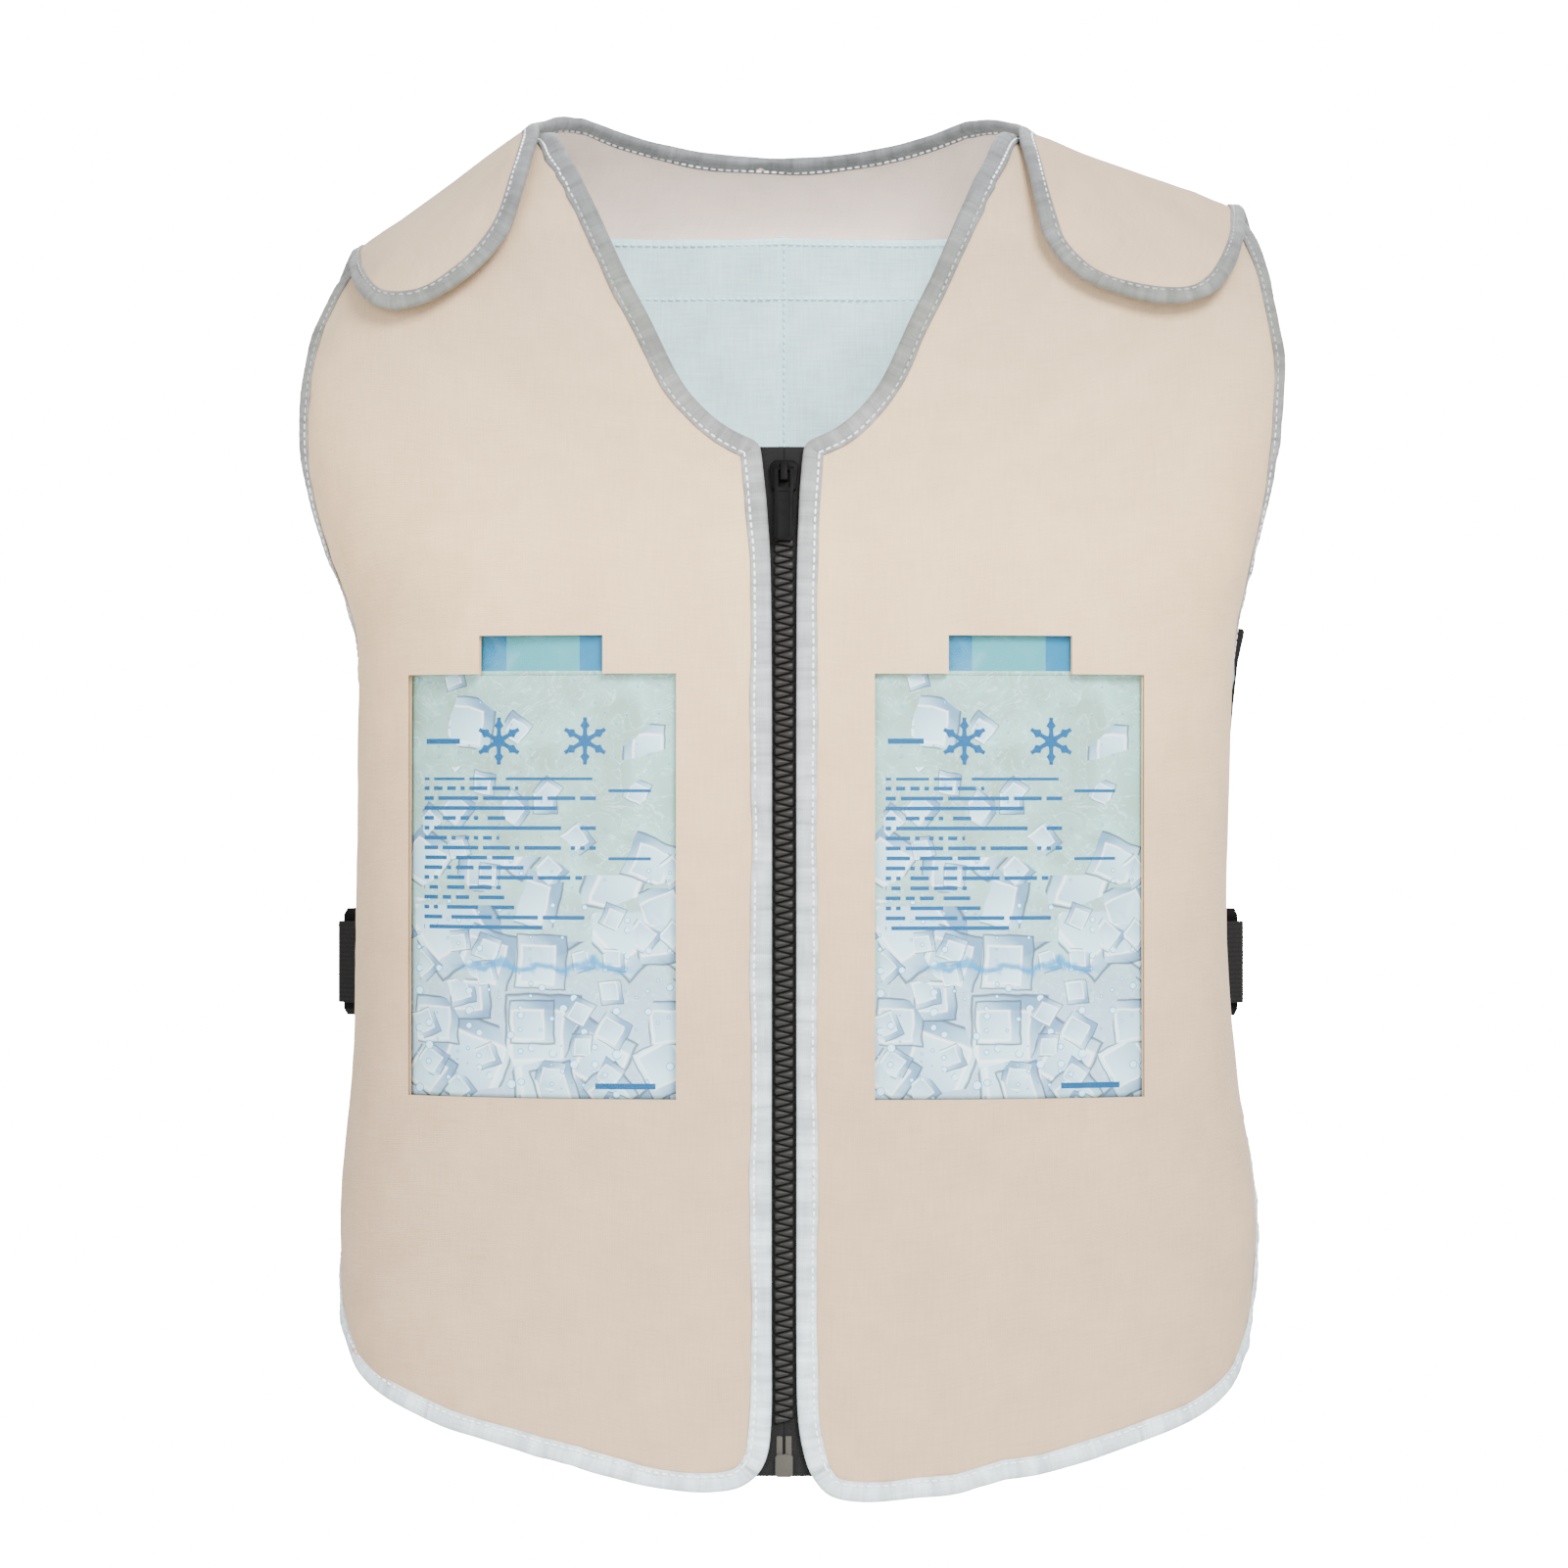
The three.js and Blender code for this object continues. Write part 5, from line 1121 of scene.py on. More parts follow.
def webbing_material(name, colour):
    """Strap webbing: ribs across its width that follow its height, and fine yarn noise. The ribs' crowns are
    painted lighter than their hollows, a painted highlight and painted shade over the random yarn tone.
    """
    material, nodes, shader = start_material(name, 0.85, Specular_IOR_Level=0.2)
    place = nodes.object_place()
    rib = nodes.math("ABSOLUTE", nodes.math("SINE", nodes.product(nodes.split(place)["Z"], 1500.0)))
    height = nodes.math("MULTIPLY_ADD", nodes.noise(place, 900.0, 3.0), 0.7, rib)
    # The colour is paler where the ribs rise: painted highlight on their crowns and painted shade in their
    # hollows, with random yarn tone from the noise
    base = nodes.mix(nodes.product(height, 0.5), opaque(colour), paler(colour, 1.6, 0.003))
    nodes.feed(shader["Base Color"], base)
    bump(nodes, shader, height, 0.5, 0.0004)
    return material


def shared(name, build, *details, **more):
    """A material by name, built the first time that it is asked for."""
    name = f"vest_{name}"
    return bpy.data.materials.get(name) or build(name, *details, **more)


def black_plastic():
    """The plastic of the buckles and of the zip's slider and pull tab."""
    return shared("black_plastic", moulded, bpy.context.scene.vest_colours.black, 0.05)


def ice_group():
    """Cubes of ice: round the middle of each cell of a cellular noise, a square turned by a random angle,
    with a smaller square in it for its lit face, shaded edges between the two and a thin dark line round it.
    Gives its colour, where there is a cube, and its height."""
    name = "Cubes of Ice"
    if name in bpy.data.node_groups:
        return bpy.data.node_groups[name]
    white = (1.0, 1.0, 1.0, 1.0)
    nodes, given, result = new_group(
        name,
        {
            "Place": (VECTOR, None),
            "Cubes per Metre": (FLOAT, 26.0),
            "Share": (FLOAT, 0.5),
            "Lit": (COLOUR, white),
            "Shaded": (COLOUR, white),
            "Edge": (COLOUR, white),
        },
        {"Color": COLOUR, "Cube": FLOAT, "Height": FLOAT},
    )
    lit, shade = given["Lit"], given["Shaded"]
    swirl = nodes.add("ShaderNodeTexNoise", {"Vector": given["Place"], "Scale": 60.0, "Detail": 2.0})
    bent = nodes.vector("MULTIPLY_ADD", swirl.outputs["Color"], (0.004, 0.004, 0.0), given["Place"])
    cell = nodes.cells(bent, given["Cubes per Metre"], 0.75)
    chance = nodes.add("ShaderNodeSeparateColor", {0: cell["Color"]}).outputs
    from_middle = nodes.vector("SUBTRACT", bent, cell["Position"])
    turn = {"Vector": from_middle, "Angle": nodes.product(chance[1], math.pi)}
    turned = nodes.add("ShaderNodeVectorRotate", turn, rotation_type="Z_AXIS")
    split = nodes.split(turned.outputs[0])
    x, y = (nodes.product(split[k], given["Cubes per Metre"]) for k in (0, 1))
    half = nodes.ramp(chance[2], 0.0, 1.0, 0.34, 0.5)
    outward = nodes.math("MAXIMUM", nodes.math("ABSOLUTE", x), nodes.math("ABSOLUTE", y))
    from_side = nodes.math("SUBTRACT", half, outward)
    inner_outward = nodes.math("MAXIMUM", nodes.off(x, 0.05), nodes.off(y, -0.06))
    inner = nodes.math("MULTIPLY_ADD", half, 0.66, nodes.product(inner_outward, -1.0))
    tone = nodes.math("MULTIPLY_ADD", nodes.math("ADD", x, y), 0.8, 0.5)
    face = nodes.mix(nodes.ramp(tone, 0.0, 1.0, 0.4, 1.0), shade, lit)
    side = nodes.mix(nodes.ramp(nodes.math("SUBTRACT", x, y), -0.5, 0.5), shade, lit)
    color = nodes.mix(nodes.ramp(inner, -0.02, 0.03), side, face)
    color = nodes.mix(nodes.ramp(nodes.math("ABSOLUTE", inner), 0.03, 0.0, 0.0, 0.9), color, white)
    color = nodes.mix(nodes.ramp(nodes.off(from_side, 0.015), 0.03, 0.005, 0.0, 0.9), color, given["Edge"])
    chosen = nodes.math("LESS_THAN", chance[0], given["Share"])
    nodes.feed(result["Color"], color)
    nodes.feed(result["Cube"], nodes.product(chosen, nodes.ramp(from_side, -0.01, 0.005)))
    nodes.feed(result["Height"], nodes.ramp(from_side, 0.0, 0.1))
    return nodes.tree


# Layers of ice from large to small: cubes in a metre, the heights between which their share grows, the
# largest share, and a shift of the pattern
ICE_LAYERS = (
    (25.0, -0.08, -0.13, 0.85, 0.013),
    (38.0, -0.05, -0.12, 0.7, 0.4),
    (72.0, 0.0, -0.12, 0.4, 0.9),
)
# Oblongs printed on a pack: the middle across and up from the pack's top edge, and half the width and height
PRINTED_MARKS = (
    (0.039, -0.053, 0.0095, 0.0007),
    (0.039, -0.083, 0.0095, 0.0007),
    (-0.046, -0.031, 0.008, 0.0012),
    (0.037, -0.1835, 0.0135, 0.0013),
)
DASHED_BLOCK = (-0.0155, -0.0816, 0.0395, 0.0345)
DASH_PITCH = 0.0044
DASH_LENGTH = 0.0021
STARS = ((-0.02, -0.031), (0.019, -0.031))
STAR_RADIUS = 0.0105
WATER_LEVEL = -0.131
NECK_MIDDLE_HALF = 0.0165


def star(nodes, split, x, y):
    """A star of six arms on a map: where the way out times the cosine of three times the angle is small. The
    arms grow barbs two thirds of the way out."""
    dx, dy = nodes.math("SUBTRACT", split["X"], x), nodes.math("SUBTRACT", split["Y"], y)
    out = nodes.math("SQRT", nodes.math("ADD", nodes.product(dx, dx), nodes.product(dy, dy)))
    three = nodes.product(nodes.math("ARCTAN2", dy, dx), 3.0)
    off_arm = nodes.product(out, nodes.math("ABSOLUTE", nodes.math("COSINE", three)))
    from_barb = nodes.off(out, 0.68 * STAR_RADIUS)
    half = nodes.ramp(from_barb, 0.0, 0.16 * STAR_RADIUS, 0.55 * STAR_RADIUS, 0.26 * STAR_RADIUS)
    return nodes.product(nodes.math("LESS_THAN", off_arm, half), nodes.math("LESS_THAN", out, STAR_RADIUS))


def pack_ice(nodes, place, up, base, height, tones):
    """Lumps of ice in three sizes over a colour and a height, more of them towards the foot."""
    for cubes, top, foot, most, shift in ICE_LAYERS:
        values = {
            "Place": nodes.vector("ADD", place, (shift, shift, 0.0)),
            "Cubes per Metre": cubes,
            "Share": nodes.ramp(up, top, foot, 0.06, most),
            "Lit": tones["ice"],
            "Shaded": tones["ice_shade"],
            "Edge": tones["ice_edge"],
        }
        ice = nodes.add("ShaderNodeGroup", values, node_tree=ice_group()).outputs
        base = nodes.mix(nodes.product(ice["Cube"], 0.9), base, ice["Color"])
        height = nodes.math("MULTIPLY_ADD", ice["Height"], ice["Cube"], height)
    return base, height


def pack_bubbles(nodes, place, up, base, tones):
    """Small bubbles over a colour, each pale in a darker ring: a few of a cellular noise's cells hold one."""
    cell = nodes.cells(place, 210.0, 1.0)
    chance = nodes.add("ShaderNodeSeparateColor", {0: cell["Color"]}).outputs[0]
    size = nodes.product(nodes.ramp(chance, 0.72, 1.0, 0.0, 0.46), nodes.ramp(up, -0.06, -0.15, 0.3, 1.0))
    inside = nodes.math("SUBTRACT", size, cell["Distance"])
    base = nodes.mix(nodes.ramp(inside, -0.02, 0.02, 0.0, 0.8), base, tones["water"])
    return nodes.mix(nodes.ramp(inside, 0.06, 0.1, 0.0, 0.95), base, tones["ice"])


def pack_print(nodes, split):
    """1 where a pack is printed: rows of dashes that end and are broken at random, marks, and two stars."""
    row = nodes.math("DIVIDE", split["Y"], DASH_PITCH)
    row_number = nodes.math("FLOOR", row)
    dash_number = nodes.math("FLOOR", nodes.math("DIVIDE", split["X"], DASH_LENGTH))
    joined = nodes.add("ShaderNodeCombineXYZ", {"X": dash_number, "Y": row_number}).outputs[0]
    chance = nodes.add("ShaderNodeTexWhiteNoise", {"Vector": joined}, noise_dimensions="2D").outputs["Value"]
    length = nodes.add("ShaderNodeTexWhiteNoise", {"W": row_number}, noise_dimensions="1D").outputs["Value"]
    printed = nodes.product(
        nodes.math("LESS_THAN", nodes.math("FRACT", row), 0.4),
        nodes.math("GREATER_THAN", chance, 0.2),
        nodes.math("LESS_THAN", split["X"], nodes.ramp(length, 0.0, 1.0, -0.02, 0.045)),
        boxed(nodes, split, *DASHED_BLOCK),
    )
    shapes = [boxed(nodes, split, *mark) for mark in PRINTED_MARKS]
    shapes += [star(nodes, split, x, y) for x, y in STARS]
    for made in shapes:
        printed = nodes.math("MAXIMUM", printed, made)
    return printed


def pack_water_line(nodes, place, split):
    """How strongly the wavy water line shows: it fades away from a noisy level and towards the pack's
    sides."""
    wave = nodes.math("SUBTRACT", nodes.noise(place, 70.0, 4.0), 0.5)
    wave = nodes.math("MULTIPLY_ADD", wave, 0.02, WATER_LEVEL)
    near = nodes.ramp(nodes.off(split["Y"], wave), 0.0026, 0.0008)
    return nodes.product(near, nodes.ramp(nodes.math("ABSOLUTE", split["X"]), 0.045, 0.03, 0.0, 0.85))


def pack_material(name):
    """A pack of frozen gel under clear film: grey green and aqua clouds that turn blue near the foot, lumps
    of ice, small bubbles, a generic print, a wavy water line, and a neck with blue ends."""
    colours = bpy.context.scene.vest_colours
    material, nodes, shader = start_material(name, 0.4, Specular_IOR_Level=0.12)
    place = nodes.map_place("pack")
    split = nodes.split(place)
    up = split["Y"]
    tones = {key: opaque(getattr(colours, key)) for key in colours.__annotations__}
    cloud = nodes.noise(place, 34.0, 5.0, Distortion=1.4)
    base = nodes.mix(nodes.ramp(cloud, 0.35, 0.7), tones["pack_green"], tones["pack_aqua"])
    base = nodes.mix(nodes.product(nodes.ramp(up, -0.09, -0.16), 0.8), base, tones["pack_low"])
    wisps = nodes.off(nodes.noise(place, 60.0, 6.0, Distortion=3.0), 0.5)
    base = nodes.mix(nodes.ramp(wisps, 0.016, 0.0, 0.0, 0.5), base, tones["ice"])
    base, height = pack_ice(nodes, place, up, base, cloud, tones)
    base = pack_bubbles(nodes, place, up, base, tones)
    base = nodes.mix(pack_print(nodes, split), base, tones["print_blue"])
    base = nodes.mix(pack_water_line(nodes, place, split), base, tones["water"])
    ends = nodes.math("GREATER_THAN", nodes.math("ABSOLUTE", split["X"]), NECK_MIDDLE_HALF)
    neck = nodes.mix(ends, tones["neck_middle"], tones["neck_ends"])
    neck = nodes.mix(nodes.ramp(cloud, 0.5, 0.75, 0.0, 0.15), neck, tones["ice"])
    nodes.feed(shader["Base Color"], nodes.mix(nodes.math("GREATER_THAN", up, 0.0), base, neck))
    bump(nodes, shader, height, 0.3, 0.0008)
    return material


def refined(node, name, material, bevel=0.0003, segments=2, body="vest"):
    """A copy of a solid with its edges rounded, in place of it."""
    mesh = NODES[node].data.copy()
    made = bmesh.new()
    made.from_mesh(mesh)
    bmesh.ops.remove_doubles(made, verts=made.verts, dist=1e-6)
    bmesh.ops.dissolve_limit(made, angle_limit=math.radians(1), verts=made.verts, edges=made.edges)
    made.to_mesh(mesh)
    made.free()
    mesh.name = name
    mesh.materials.clear()
    mesh.materials.append(material)
    mesh.polygons.foreach_set("use_smooth", np.full(len(mesh.polygons), True))
    piece = bpy.data.objects.new(name, mesh)
    bpy.context.scene.collection.objects.link(piece)
    edge = piece.modifiers.new("Rounded", "BEVEL")
    edge.width = bevel
    edge.segments = segments
    edge.limit_method = "ANGLE"
    edge.angle_limit = math.radians(25)
    edge.harden_normals = True
    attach(piece, body)
    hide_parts(node)
    return piece


def worn_form():
    """The form, from the sizes in the scene."""
    return WornForm(bpy.context.scene.vest_shape)


# Spacing of the points along an edge, and how far the corners of the fronts and of the back are rounded
EDGE_SPACING = 0.0022
FRONT_CORNERS = 0.0026
BACK_CORNERS = 0.0045
# How far behind its flaps' ends the back's binding widens from their width to its full one
BINDING_WIDENS = 0.02


class VEST_OT_fronts(bpy.types.Operator):
    """Build the two cloth fronts, each with its binding and stitching"""

    bl_idname = "vest.fronts"
    bl_label = "Fronts"

    def execute(self, context):
        form = worn_form()
        chart = charts(form)[0]
        cloth = shared("beige_cloth_fronts", beige_cloth, windowed=True)
        for seed, (side, sign) in enumerate(SIDES.items()):
            edges = front_edges(form, side)
            loop = even_loop(chart, edges, EDGE_SPACING, FRONT_CORNERS)
            corners = [edge[0] for edge in edges]
            low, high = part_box(f"ice_pack_{side}")
            centre = ((low[0] + high[0]) / 2, high[2] - form.shape.pack_neck_height)
            name, waves = f"front_{side}_cloth", 10 + 7 * seed
            piece, points = sheet_on(chart, loop, corners, sign, (64, 190), name, cloth, waves, centre)
            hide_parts(f"front_{side}")
            binding, stitches = bound_edge(chart, loop, sign, form.shape.binding, f"front_{side}", 40 + seed)
            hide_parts(f"front_{side}_binding")
        return {"FINISHED"}


class VEST_OT_back(bpy.types.Operator):
    """Build the cloth back with its shoulder flaps, its binding and its stitching"""

    bl_idname = "vest.back"
    bl_label = "Back and Flaps"

    def execute(self, context):
        form = worn_form()
        chart = charts(form)[1]
        cloth = shared("beige_cloth", beige_cloth)
        edges = back_edges(form)
        loop = even_loop(chart, edges, EDGE_SPACING, BACK_CORNERS)
        corners = [edge[0] for edge in edges]
        piece, points = sheet_on(chart, loop, corners, 1, (150, 190), "back_cloth", cloth, 31)
        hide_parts("back_panel", "shoulder_flap_left", "shoulder_flap_right")
        narrow, full = form.shape.flap_binding, form.shape.binding
        wide = narrow + (full - narrow) * smooth_step(1 + loop[:, 1] / BINDING_WIDENS)
        binding, stitches = bound_edge(chart, loop, 1, wide, "back", 44)
        bound = ["back_neck_binding", "back_edge_binding"]
        bound += [f"shoulder_flap_{side}_binding" for side in SIDES]
        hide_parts(*bound)
        return {"FINISHED"}


# Thickness of the pockets' cloth, and how far inside the form it lies
POCKET_CLOTH = 0.0009
POCKET_GAP = 0.0022
# The back's pocket: how far it stands off between its seams, its waves, and its seams' ways from its edges
BACK_PUFF = 0.0035
BACK_WAVE = 0.0009
BACK_WAVE_LENGTH = 0.045
TOP_HEM_DOWN = 0.0025
CROSS_SEAM_DOWN = 0.0285
SEAM_INSET = 0.004
SEAM_END = 0.002
# A front's pocket: how far it goes past its pack at the sides and at the foot, as shares of the pack, and how
# much of the pack's top shows
SIDE_MARGIN = 0.008 / 0.12
FOOT_MARGIN = 0.012 / 0.189
TOP_SHOWS = 0.05
# A pack: its depth over its border, how much farther inside its front lies there, its film at the border, and
# how much wider than its solid it is drawn, so that its edges lie behind the cloth
PACK_DEPTH = 0.0135
BORDER_DIP = 0.0004
BORDER_FILM = 0.0011
PACK_WIDER = 1.045
# The pack's neck: its thickness and how far inside the form it lies
NECK_FILM = 0.0018
NECK_GAP = 0.0033


def cushion(u, v, full_u, full_v, power):
    """A swell between 0 and 1 over shares across and down: a power of the product of one less the cube of the
    way from the middle, each way taken as a share of the full part."""
    inside_u = np.clip(np.abs(2 * u - 1) / full_u, 0, 1)
    inside_v = np.clip(np.abs(2 * v - 1) / full_v, 0, 1)
    return ((1 - inside_u**3) * (1 - inside_v**3)) ** power


def pack_places(form, side, u, v):
    """Places on a front at shares across and down its pack, and the same on the pack's own map."""
    low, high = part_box(f"ice_pack_{side}")
    middle = (low[0] + high[0]) / 2
    top = high[2] - form.shape.pack_neck_height
    x, z = np.broadcast_arrays(
        middle + PACK_WIDER * (high[0] - low[0]) * (u - 0.5), top - form.shape.pack_height * v
    )
    return form.round_place(x, z), np.stack([x - middle, z - top], -1)


class VEST_OT_pockets(bpy.types.Operator):
    """Build the inner pocket cloth of the back, the two pockets of the fronts, and their ice packs"""

    bl_idname = "vest.pockets"
    bl_label = "Pockets and Ice Packs"

    def execute(self, context):
        form = worn_form()
        lining = shared("pocket_cloth", plain_cloth, context.scene.vest_colours.lining, 1500.0)
        self.back_pocket(form, lining)
        film = shared("frozen_pack", pack_material)
        for side in SIDES:
            self.pack(form, side, film)
            self.front_pocket(form, side, lining)
        return {"FINISHED"}

    def back_pocket(self, form, lining):
        """One cloth sewn down its middle and round its sides and foot: its depth is a root of the share of
        the way from a seam."""
        chart = charts(form)[1]
        low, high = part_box("back_pocket")
        u = np.linspace(-1, 1, 91)[None, :]
        v = np.linspace(0, 1, 120)[:, None]
        x, z = np.broadcast_arrays(u * (high[0] - low[0]) / 2, high[2] + v * (low[2] - high[2]))
        places = np.stack([x, form.run(form.crest(x) - z)], -1)
        from_seam = np.minimum(np.abs(u), 1 - np.abs(u)) * 2
        puff = BACK_PUFF * np.sqrt(from_seam * np.minimum(1, (1 - v) * 4))
        wave = BACK_WAVE * ripples(x, z, BACK_WAVE_LENGTH, 5)
        wave = wave * np.minimum(1, from_seam * 4) * np.minimum(1, v * 5 + 0.3)
        points = lifted(chart, places, -POCKET_GAP - puff + wave)
        uv = np.stack([x, z], -1)
        faces = grid_faces(*x.shape)
        piece = make_piece("back_pocket_cloth", points, faces, lining, uv, thickness=POCKET_CLOTH)
        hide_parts("back_pocket")
        stitches = self.back_pocket_stitches(form, chart, low, high, z)

    def back_pocket_stitches(self, form, chart, low, high, z):
        """Stitches down the pocket's middle, across it and along its upper hem."""
        lining = bpy.context.scene.vest_colours.lining
        thread = shared("pocket_thread", plain_cloth, lining, 3000.0, 0.9, 1.04)
        pitch = form.shape.stitch
        upright = np.arange(z.max() - SEAM_END, z.min() + SEAM_INSET, -pitch)
        level = np.arange(low[0] + SEAM_INSET, high[0] - SEAM_END, pitch)
        seams = [np.stack([0 * upright, upright], -1)]
        for down in (CROSS_SEAM_DOWN, TOP_HEM_DOWN):
            seams.append(np.stack([level, 0 * level + high[2] - down], -1))
        x, z = np.vstack(seams).T
        places = np.stack([x, form.run(form.crest(x) - z)], -1)
        by_x, by_run, outward = ways(chart, places)
        along = unit(np.where(np.arange(len(x))[:, None] < len(upright), by_run, by_x))
        share = np.abs(x) / high[0]
        depth = BACK_PUFF * np.sqrt(np.minimum(share, 1 - share) * 2) + POCKET_GAP + POCKET_CLOTH
        return stitch_line("back_pocket_stitches", lifted(chart, places, -depth), along, outward, thread)

    def pack(self, form, side, material):
        """A filled pouch with a flat seam as its border, and its neck, a flat strip on its upper edge."""
        chart = charts(form)[0]
        u = np.linspace(0, 1, 64)[None, :]
        v = np.linspace(0, 1, 96)[:, None]
        places, on_pack = pack_places(form, side, u, v)
        swell = cushion(u, v, 0.9, 0.93, 0.55)
        uneven = 1 + 0.08 * ripples(on_pack[..., 0], on_pack[..., 1], 0.05, 3)
        near = -POCKET_GAP - BORDER_DIP * (1 - swell)
        far = near - BORDER_FILM - PACK_DEPTH * swell * uneven
        faces = grid_faces(*swell.shape)
        count = swell.size
        numbers = np.arange(count).reshape(swell.shape)
        rim = np.r_[numbers[0], numbers[1:, -1], numbers[-1, -2::-1], numbers[-2:0:-1, 0]]
        after = np.roll(rim, -1)
        border = np.stack([rim, rim + count, after + count, after], -1)
        points = np.stack([lifted(chart, places, near), lifted(chart, places, far)])
        faces = turned_out(points.reshape(-1, 3), np.vstack([faces, faces[:, ::-1] + count, border]))
        uv = np.stack([on_pack, on_pack])
        piece = make_piece(f"ice_pack_{side}_pouch", points, faces, material, uv, uv)
        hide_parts(f"ice_pack_{side}")
        shape = form.shape
        half = shape.pack_neck_width / shape.pack_width / 2
        u = np.linspace(0.5 - half, 0.5 + half, 30)[None, :]
        v = np.linspace(-0.97 * shape.pack_neck_height / shape.pack_height, 0.01, 12)[:, None]
        places, on_pack = pack_places(form, side, u, v)
        points = lifted(chart, places, np.full(places.shape[:2], -NECK_GAP))
        faces = grid_faces(*places.shape[:2])
        neck = make_piece(f"ice_pack_{side}_neck", points, faces, material, on_pack, on_pack, NECK_FILM)

    def front_pocket(self, form, side, lining):
        """A cloth that hugs its pack and lies flat on the front at its sewn sides and foot."""
        chart = charts(form)[0]
        u = np.linspace(-SIDE_MARGIN, 1 + SIDE_MARGIN, 80)[None, :]
        v = np.linspace(TOP_SHOWS, 1 + FOOT_MARGIN, 100)[:, None]
        places, on_pack = pack_places(form, side, u, v)
        from_side = np.minimum(u + SIDE_MARGIN, 1 + SIDE_MARGIN - u)
        free = smooth_step(np.minimum(from_side, v.max() - v) / SIDE_MARGIN)
        depth = 0.0023 + free * (0.0019 + 0.015 * cushion(u, v, 1, 1, 0.5))
        depth += 0.0004 * ripples(on_pack[..., 0], on_pack[..., 1], 0.03, 8) * free
        points = lifted(chart, places, -depth)
        faces = grid_faces(*places.shape[:2])
        name = f"front_pocket_{side}_cloth"
        piece = make_piece(name, points, faces, lining, on_pack, thickness=POCKET_CLOTH)
        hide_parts(f"front_pocket_{side}")


# How far the zip lies inside the form, and the way from one tooth of a side to the next
ZIP_LIFT = -0.003
TOOTH_PITCH = 0.005
FIRST_TOOTH_DOWN = 0.0014
LAST_TOOTH_UP = 0.001

# In millimetres: distance across the zip from a tooth's root, half its width and half its thickness
TOOTH = np.array([
    (4.3, 1.7, 1.8),
    (3.5, 2.0, 2.2),
    (1.8, 1.66, 2.3),
    (0.0, 1.12, 2.2),
    (-1.8, 0.62, 2.0),
    (-3.1, 0.25, 1.5),
])
# How far along a tooth's sides its flat faces go before its corners are cut
TOOTH_FLAT = 0.55

# In millimetres: distance across the zip and half the thickness of a tape, from its beaded edge outwards
ZIP_TAPE = np.array([(0.0, 0.3), (0.4, 0.6), (1.8, 0.7), (2.6, 0.42), (9, 0.4), (16.8, 0.3)])


def zip_line(form):
    """The line down the middle of the front that the zip lies on, as distances, points, and the way
    outwards."""
    z = np.linspace(-form.shape.neck_front, -form.shape.body_length, 300)
    points = form.round_point(0 * z, form.run(form.crest(0 * z) - z))
    distances = np.r_[0, np.cumsum(np.linalg.norm(np.diff(points, axis=0), axis=1))]
    down = unit(np.gradient(points, axis=0))
    return distances, points, np.stack([0 * z, down[:, 2], -down[:, 1]], -1)


def zip_points(line, x, down, out):
    """Points beside the zip: across it, down along it and out of it."""
    distances, points, outward = line
    at, way = (
        np.stack([np.interp(down, distances, rows[:, k]) for k in range(3)], -1) for rows in (points, outward)
    )
    across = np.stack([x + 0 * down, 0 * down + 0 * x, 0 * down + 0 * x], -1)
    return at + across + way * (out + ZIP_LIFT + 0 * down)[..., None]


def zip_distance(line, z):
    """The distance down the zip of a height."""
    distances, points, _ = line
    return float(np.interp(-z, -points[:, 2], distances))


def ring_faces(rings, corners):
    """Faces of a bar with a number of rings of corners, closed at both ends."""
    last = (rings - 1) * corners
    ends = [fan_caps(0, corners)[:, ::-1], fan_caps(last, corners)]
    return np.vstack([grid_faces(rings, corners, wrap_columns=True), *ends])


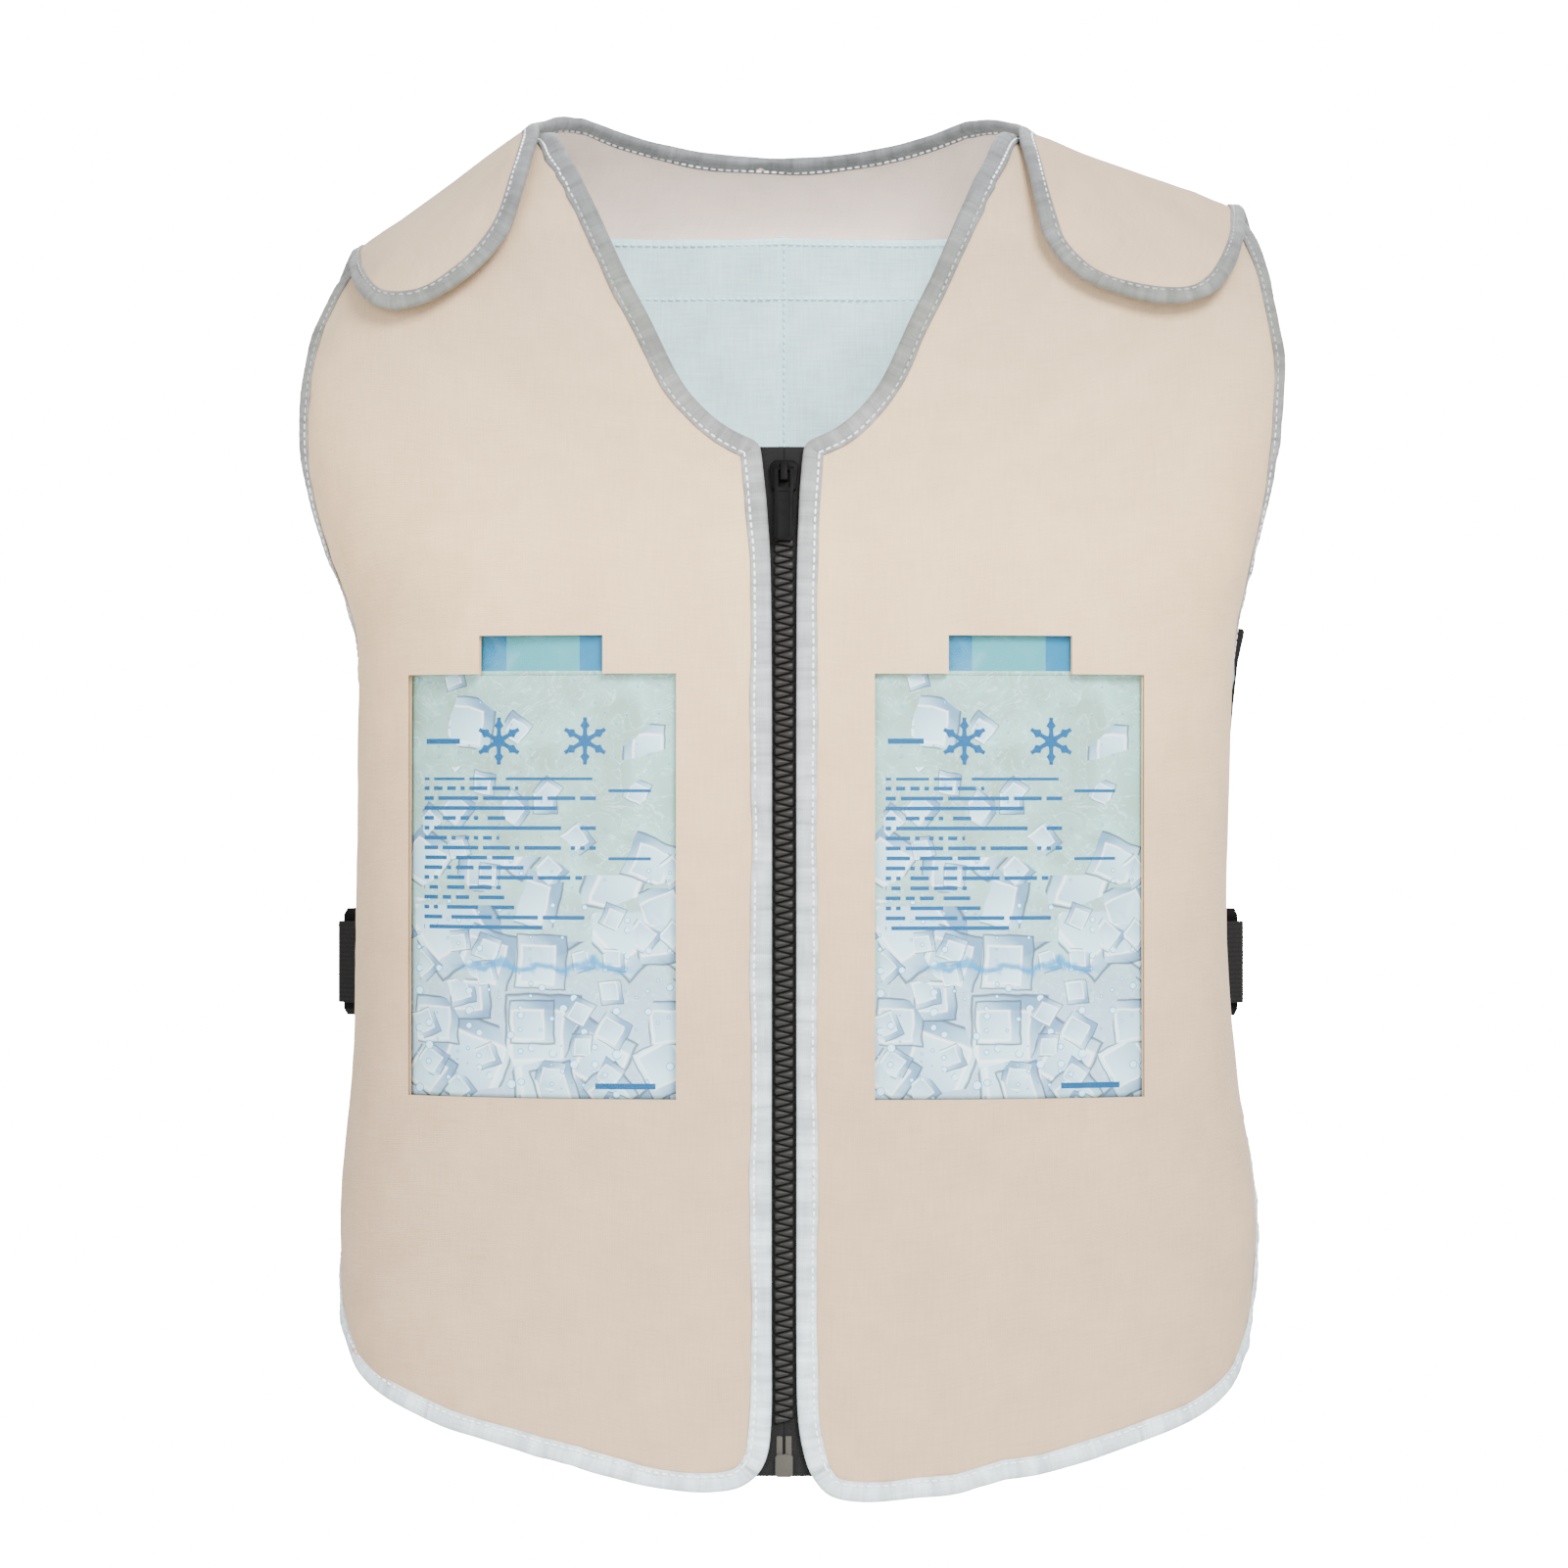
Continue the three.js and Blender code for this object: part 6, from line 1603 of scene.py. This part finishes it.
class VEST_OT_zip(bpy.types.Operator):
    """Build the zip's tapes and teeth, and round the edges of its slider, pull tab, box and pin"""

    bl_idname = "vest.zip"
    bl_label = "Zip"

    def execute(self, context):
        line = zip_line(worn_form())
        colours = context.scene.vest_colours
        tooth_plastic = shared("tooth_plastic", moulded, colours.teeth, 0.24)
        tape_cloth = shared("zip_tape_cloth", plain_cloth, colours.webbing, 1100.0, 0.7, 1.6, 0.6)
        foot = zip_distance(line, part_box("zip_tape_left")[0][2])
        for side, sign in SIDES.items():
            self.tape(line, foot, side, sign, tape_cloth)
            self.teeth(line, side, sign, tooth_plastic)
        grey = shared("grey_plastic", moulded, colours.grey)
        for node, material in (("zip_slider", black_plastic()), ("zip_box", grey), ("zip_pin", grey)):
            refined(node, f"{node}_rounded", material)
        refined("zip_pull", "zip_pull_rounded", black_plastic(), body="pull_tab")
        return {"FINISHED"}

    def tape(self, line, foot, side, sign, material):
        """A woven tape with a beaded inner edge under the teeth: a thin rounded section carried down the
        zip."""
        section = np.vstack([ZIP_TAPE, ZIP_TAPE[::-1] * (1, -1)]) * MM
        down = np.linspace(0.001, foot, 220)
        points = zip_points(line, sign * section[None, :, 0], down[:, None], section[None, :, 1])
        walk = np.cumsum(np.r_[0, np.linalg.norm(np.diff(section, axis=0), axis=1)])
        uv = np.stack(np.broadcast_arrays(walk[None, :], down[:, None]), -1)
        faces = turned_out(points.reshape(-1, 3), ring_faces(len(down), len(section)))
        piece = make_piece(f"zip_tape_{side}_woven", points, faces, material, uv)
        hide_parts(f"zip_tape_{side}")

    def teeth(self, line, side, sign, material):
        """Moulded teeth: each is a bar of eight sides whose width and thickness come from a table, and both
        sides' teeth stand half a pitch apart."""
        low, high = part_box(f"zip_teeth_{side}")
        first = zip_distance(line, high[2]) + FIRST_TOOTH_DOWN
        last = zip_distance(line, low[2]) - LAST_TOOTH_UP
        down = np.arange(first, last, TOOTH_PITCH)
        x, half, thick = TOOTH[:, :, None].transpose(1, 0, 2) * MM
        flat = TOOTH_FLAT
        wide = np.array([1, 1, flat, -flat, -1, -1, -flat, flat])
        tall = np.array([-flat, flat, 1, 1, flat, -flat, -1, -1])
        tooth = np.stack([sign * x + 0 * wide, half * wide, thick * tall], -1).reshape(-1, 3)
        points = zip_points(line, tooth[None, :, 0], down[:, None] + tooth[None, :, 1], tooth[None, :, 2])
        faces = turned_out(points[0], ring_faces(len(TOOTH), len(wide)))
        faces = repeated(faces, len(down), len(tooth))
        piece = make_piece(f"zip_teeth_{side}_moulded", points, faces, material)
        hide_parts(f"zip_teeth_{side}")


class VEST_OT_straps(bpy.types.Operator):
    """Finish the side straps and buckles with rounded edges"""

    bl_idname = "vest.straps"
    bl_label = "Side Straps and Buckles"

    def execute(self, context):
        webbing = shared("black_webbing", webbing_material, context.scene.vest_colours.webbing)
        for side in SIDES:
            for strap in ("upper_side_strap", "buckle_strap_front", "buckle_strap_back"):
                node = f"{strap}_{side}"
                refined(node, f"{node}_woven", webbing, 0.0005)
            for half in ("buckle_plug", "buckle_socket"):
                node = f"{half}_{side}"
                refined(node, f"{node}_rounded", black_plastic(), 0.0008, 3)
        return {"FINISHED"}


FLOOR_RADIUS = 4
FLOOR_HEIGHT = -1.35
# Brightness of the sky on the vest, and of the sky itself in the picture
WORLD_LIGHT = 1.23
WORLD_SEEN = 24.0
# A lamp's name, place, width and watts
LAMPS = (
    ("key_light", (0.8, -2.3, 1.35), 1.0, 167),
    ("fill_light", (-0.9, -2.7, 0.1), 1.6, 56),
    ("back_light", (0.3, 2.2, 1.2), 1.6, 40),
)
# What the lamps point at, and where the camera stands
LIT_PLACE = (0, 0, -0.3)
CAMERA_PLACE = (0, -2.6, -0.305)
SENSOR_WIDTH = 36
FOCAL_LENGTH = 129.4


def look_angles(way):
    """The turn that points an object's own -Z along a direction."""
    x, y, z = way
    return (math.pi / 2 + math.atan2(z, math.hypot(x, y)), 0, math.atan2(y, x) - math.pi / 2)


class VEST_OT_stage(bpy.types.Operator):
    """Build the pale floor, the soft studio lights and the camera"""

    bl_idname = "vest.stage"
    bl_label = "Stage"

    def execute(self, context):
        scene = context.scene
        self.floor(scene)
        self.sky(scene)
        for name, place, size, power in LAMPS:
            data = bpy.data.lights.new(name, "AREA")
            data.energy = power
            data.size = size
            lamp = bpy.data.objects.new(name, data)
            lamp.location = place
            lamp.rotation_euler = look_angles(np.array(LIT_PLACE) - place)
            scene.collection.objects.link(lamp)
        data = bpy.data.cameras.new("camera")
        data.sensor_width = SENSOR_WIDTH
        data.lens = FOCAL_LENGTH
        camera = bpy.data.objects.new("camera", data)
        camera.location = CAMERA_PLACE
        camera.rotation_euler = (math.pi / 2, 0, 0)
        scene.collection.objects.link(camera)
        scene.camera = camera
        return {"FINISHED"}

    def floor(self, scene):
        """A round pale floor, slightly cloudy."""
        material, nodes, shader = start_material("studio_floor", 0.8)
        colour = scene.vest_colours.floor
        cloud = nodes.noise(nodes.object_place(), 1.5, 3.0)
        nodes.feed(shader["Base Color"], nodes.mix(cloud, opaque(colour), paler(colour, 0.96, 0)))
        angle = np.linspace(0, 2 * math.pi, 97)[:-1]
        x, y = FLOOR_RADIUS * np.cos(angle), FLOOR_RADIUS * np.sin(angle)
        rim = np.stack([x, y, 0 * angle + FLOOR_HEIGHT], -1)
        mesh = bpy.data.meshes.new("studio_floor")
        mesh.from_pydata(rim.tolist(), [], [list(range(len(rim)))])
        mesh.materials.append(material)
        floor = bpy.data.objects.new("studio_floor", mesh)
        scene.collection.objects.link(floor)

    def sky(self, scene):
        """A plain white sky that lights the vest softly and is seen much brighter than it lights."""
        world = bpy.data.worlds.new("studio")
        world.use_nodes = True
        nodes = Nodes(world.node_tree)
        seen = nodes.add("ShaderNodeLightPath").outputs["Is Camera Ray"]
        background = world.node_tree.nodes["Background"].inputs
        background["Color"].default_value = (1, 1, 1, 1)
        nodes.feed(background["Strength"], nodes.ramp(seen, 0.0, 1.0, WORLD_LIGHT, WORLD_SEEN))
        scene.world = world


class VEST_PT_panel(bpy.types.Panel):
    """Sizes, colours and pieces of the vest"""

    bl_idname = "VEST_PT_panel"
    bl_label = "Cooling Vest"
    bl_space_type = "VIEW_3D"
    bl_region_type = "UI"
    bl_category = "Vest"

    def draw(self, context):
        for group in (context.scene.vest_shape, context.scene.vest_colours):
            column = self.layout.column(align=True)
            for name in group.__annotations__:
                column.prop(group, name)
        for operator in OPERATORS:
            self.layout.operator(operator.bl_idname)


OPERATORS = (VEST_OT_fronts, VEST_OT_back, VEST_OT_pockets, VEST_OT_zip, VEST_OT_straps, VEST_OT_stage)
CLASSES = (VestShape, VestColours, *OPERATORS, VEST_PT_panel)


def register():
    for made in CLASSES:
        bpy.utils.register_class(made)
    bpy.types.Scene.vest_shape = bpy.props.PointerProperty(type=VestShape)
    bpy.types.Scene.vest_colours = bpy.props.PointerProperty(type=VestColours)


def unregister():
    del bpy.types.Scene.vest_shape
    del bpy.types.Scene.vest_colours
    for made in reversed(CLASSES):
        bpy.utils.unregister_class(made)


def main():
    """Registers the add-on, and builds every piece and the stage."""
    register()
    bpy.ops.vest.fronts()
    bpy.ops.vest.back()
    bpy.ops.vest.pockets()
    bpy.ops.vest.zip()
    bpy.ops.vest.straps()
    bpy.ops.vest.stage()


if __name__ == "__main__":
    main()
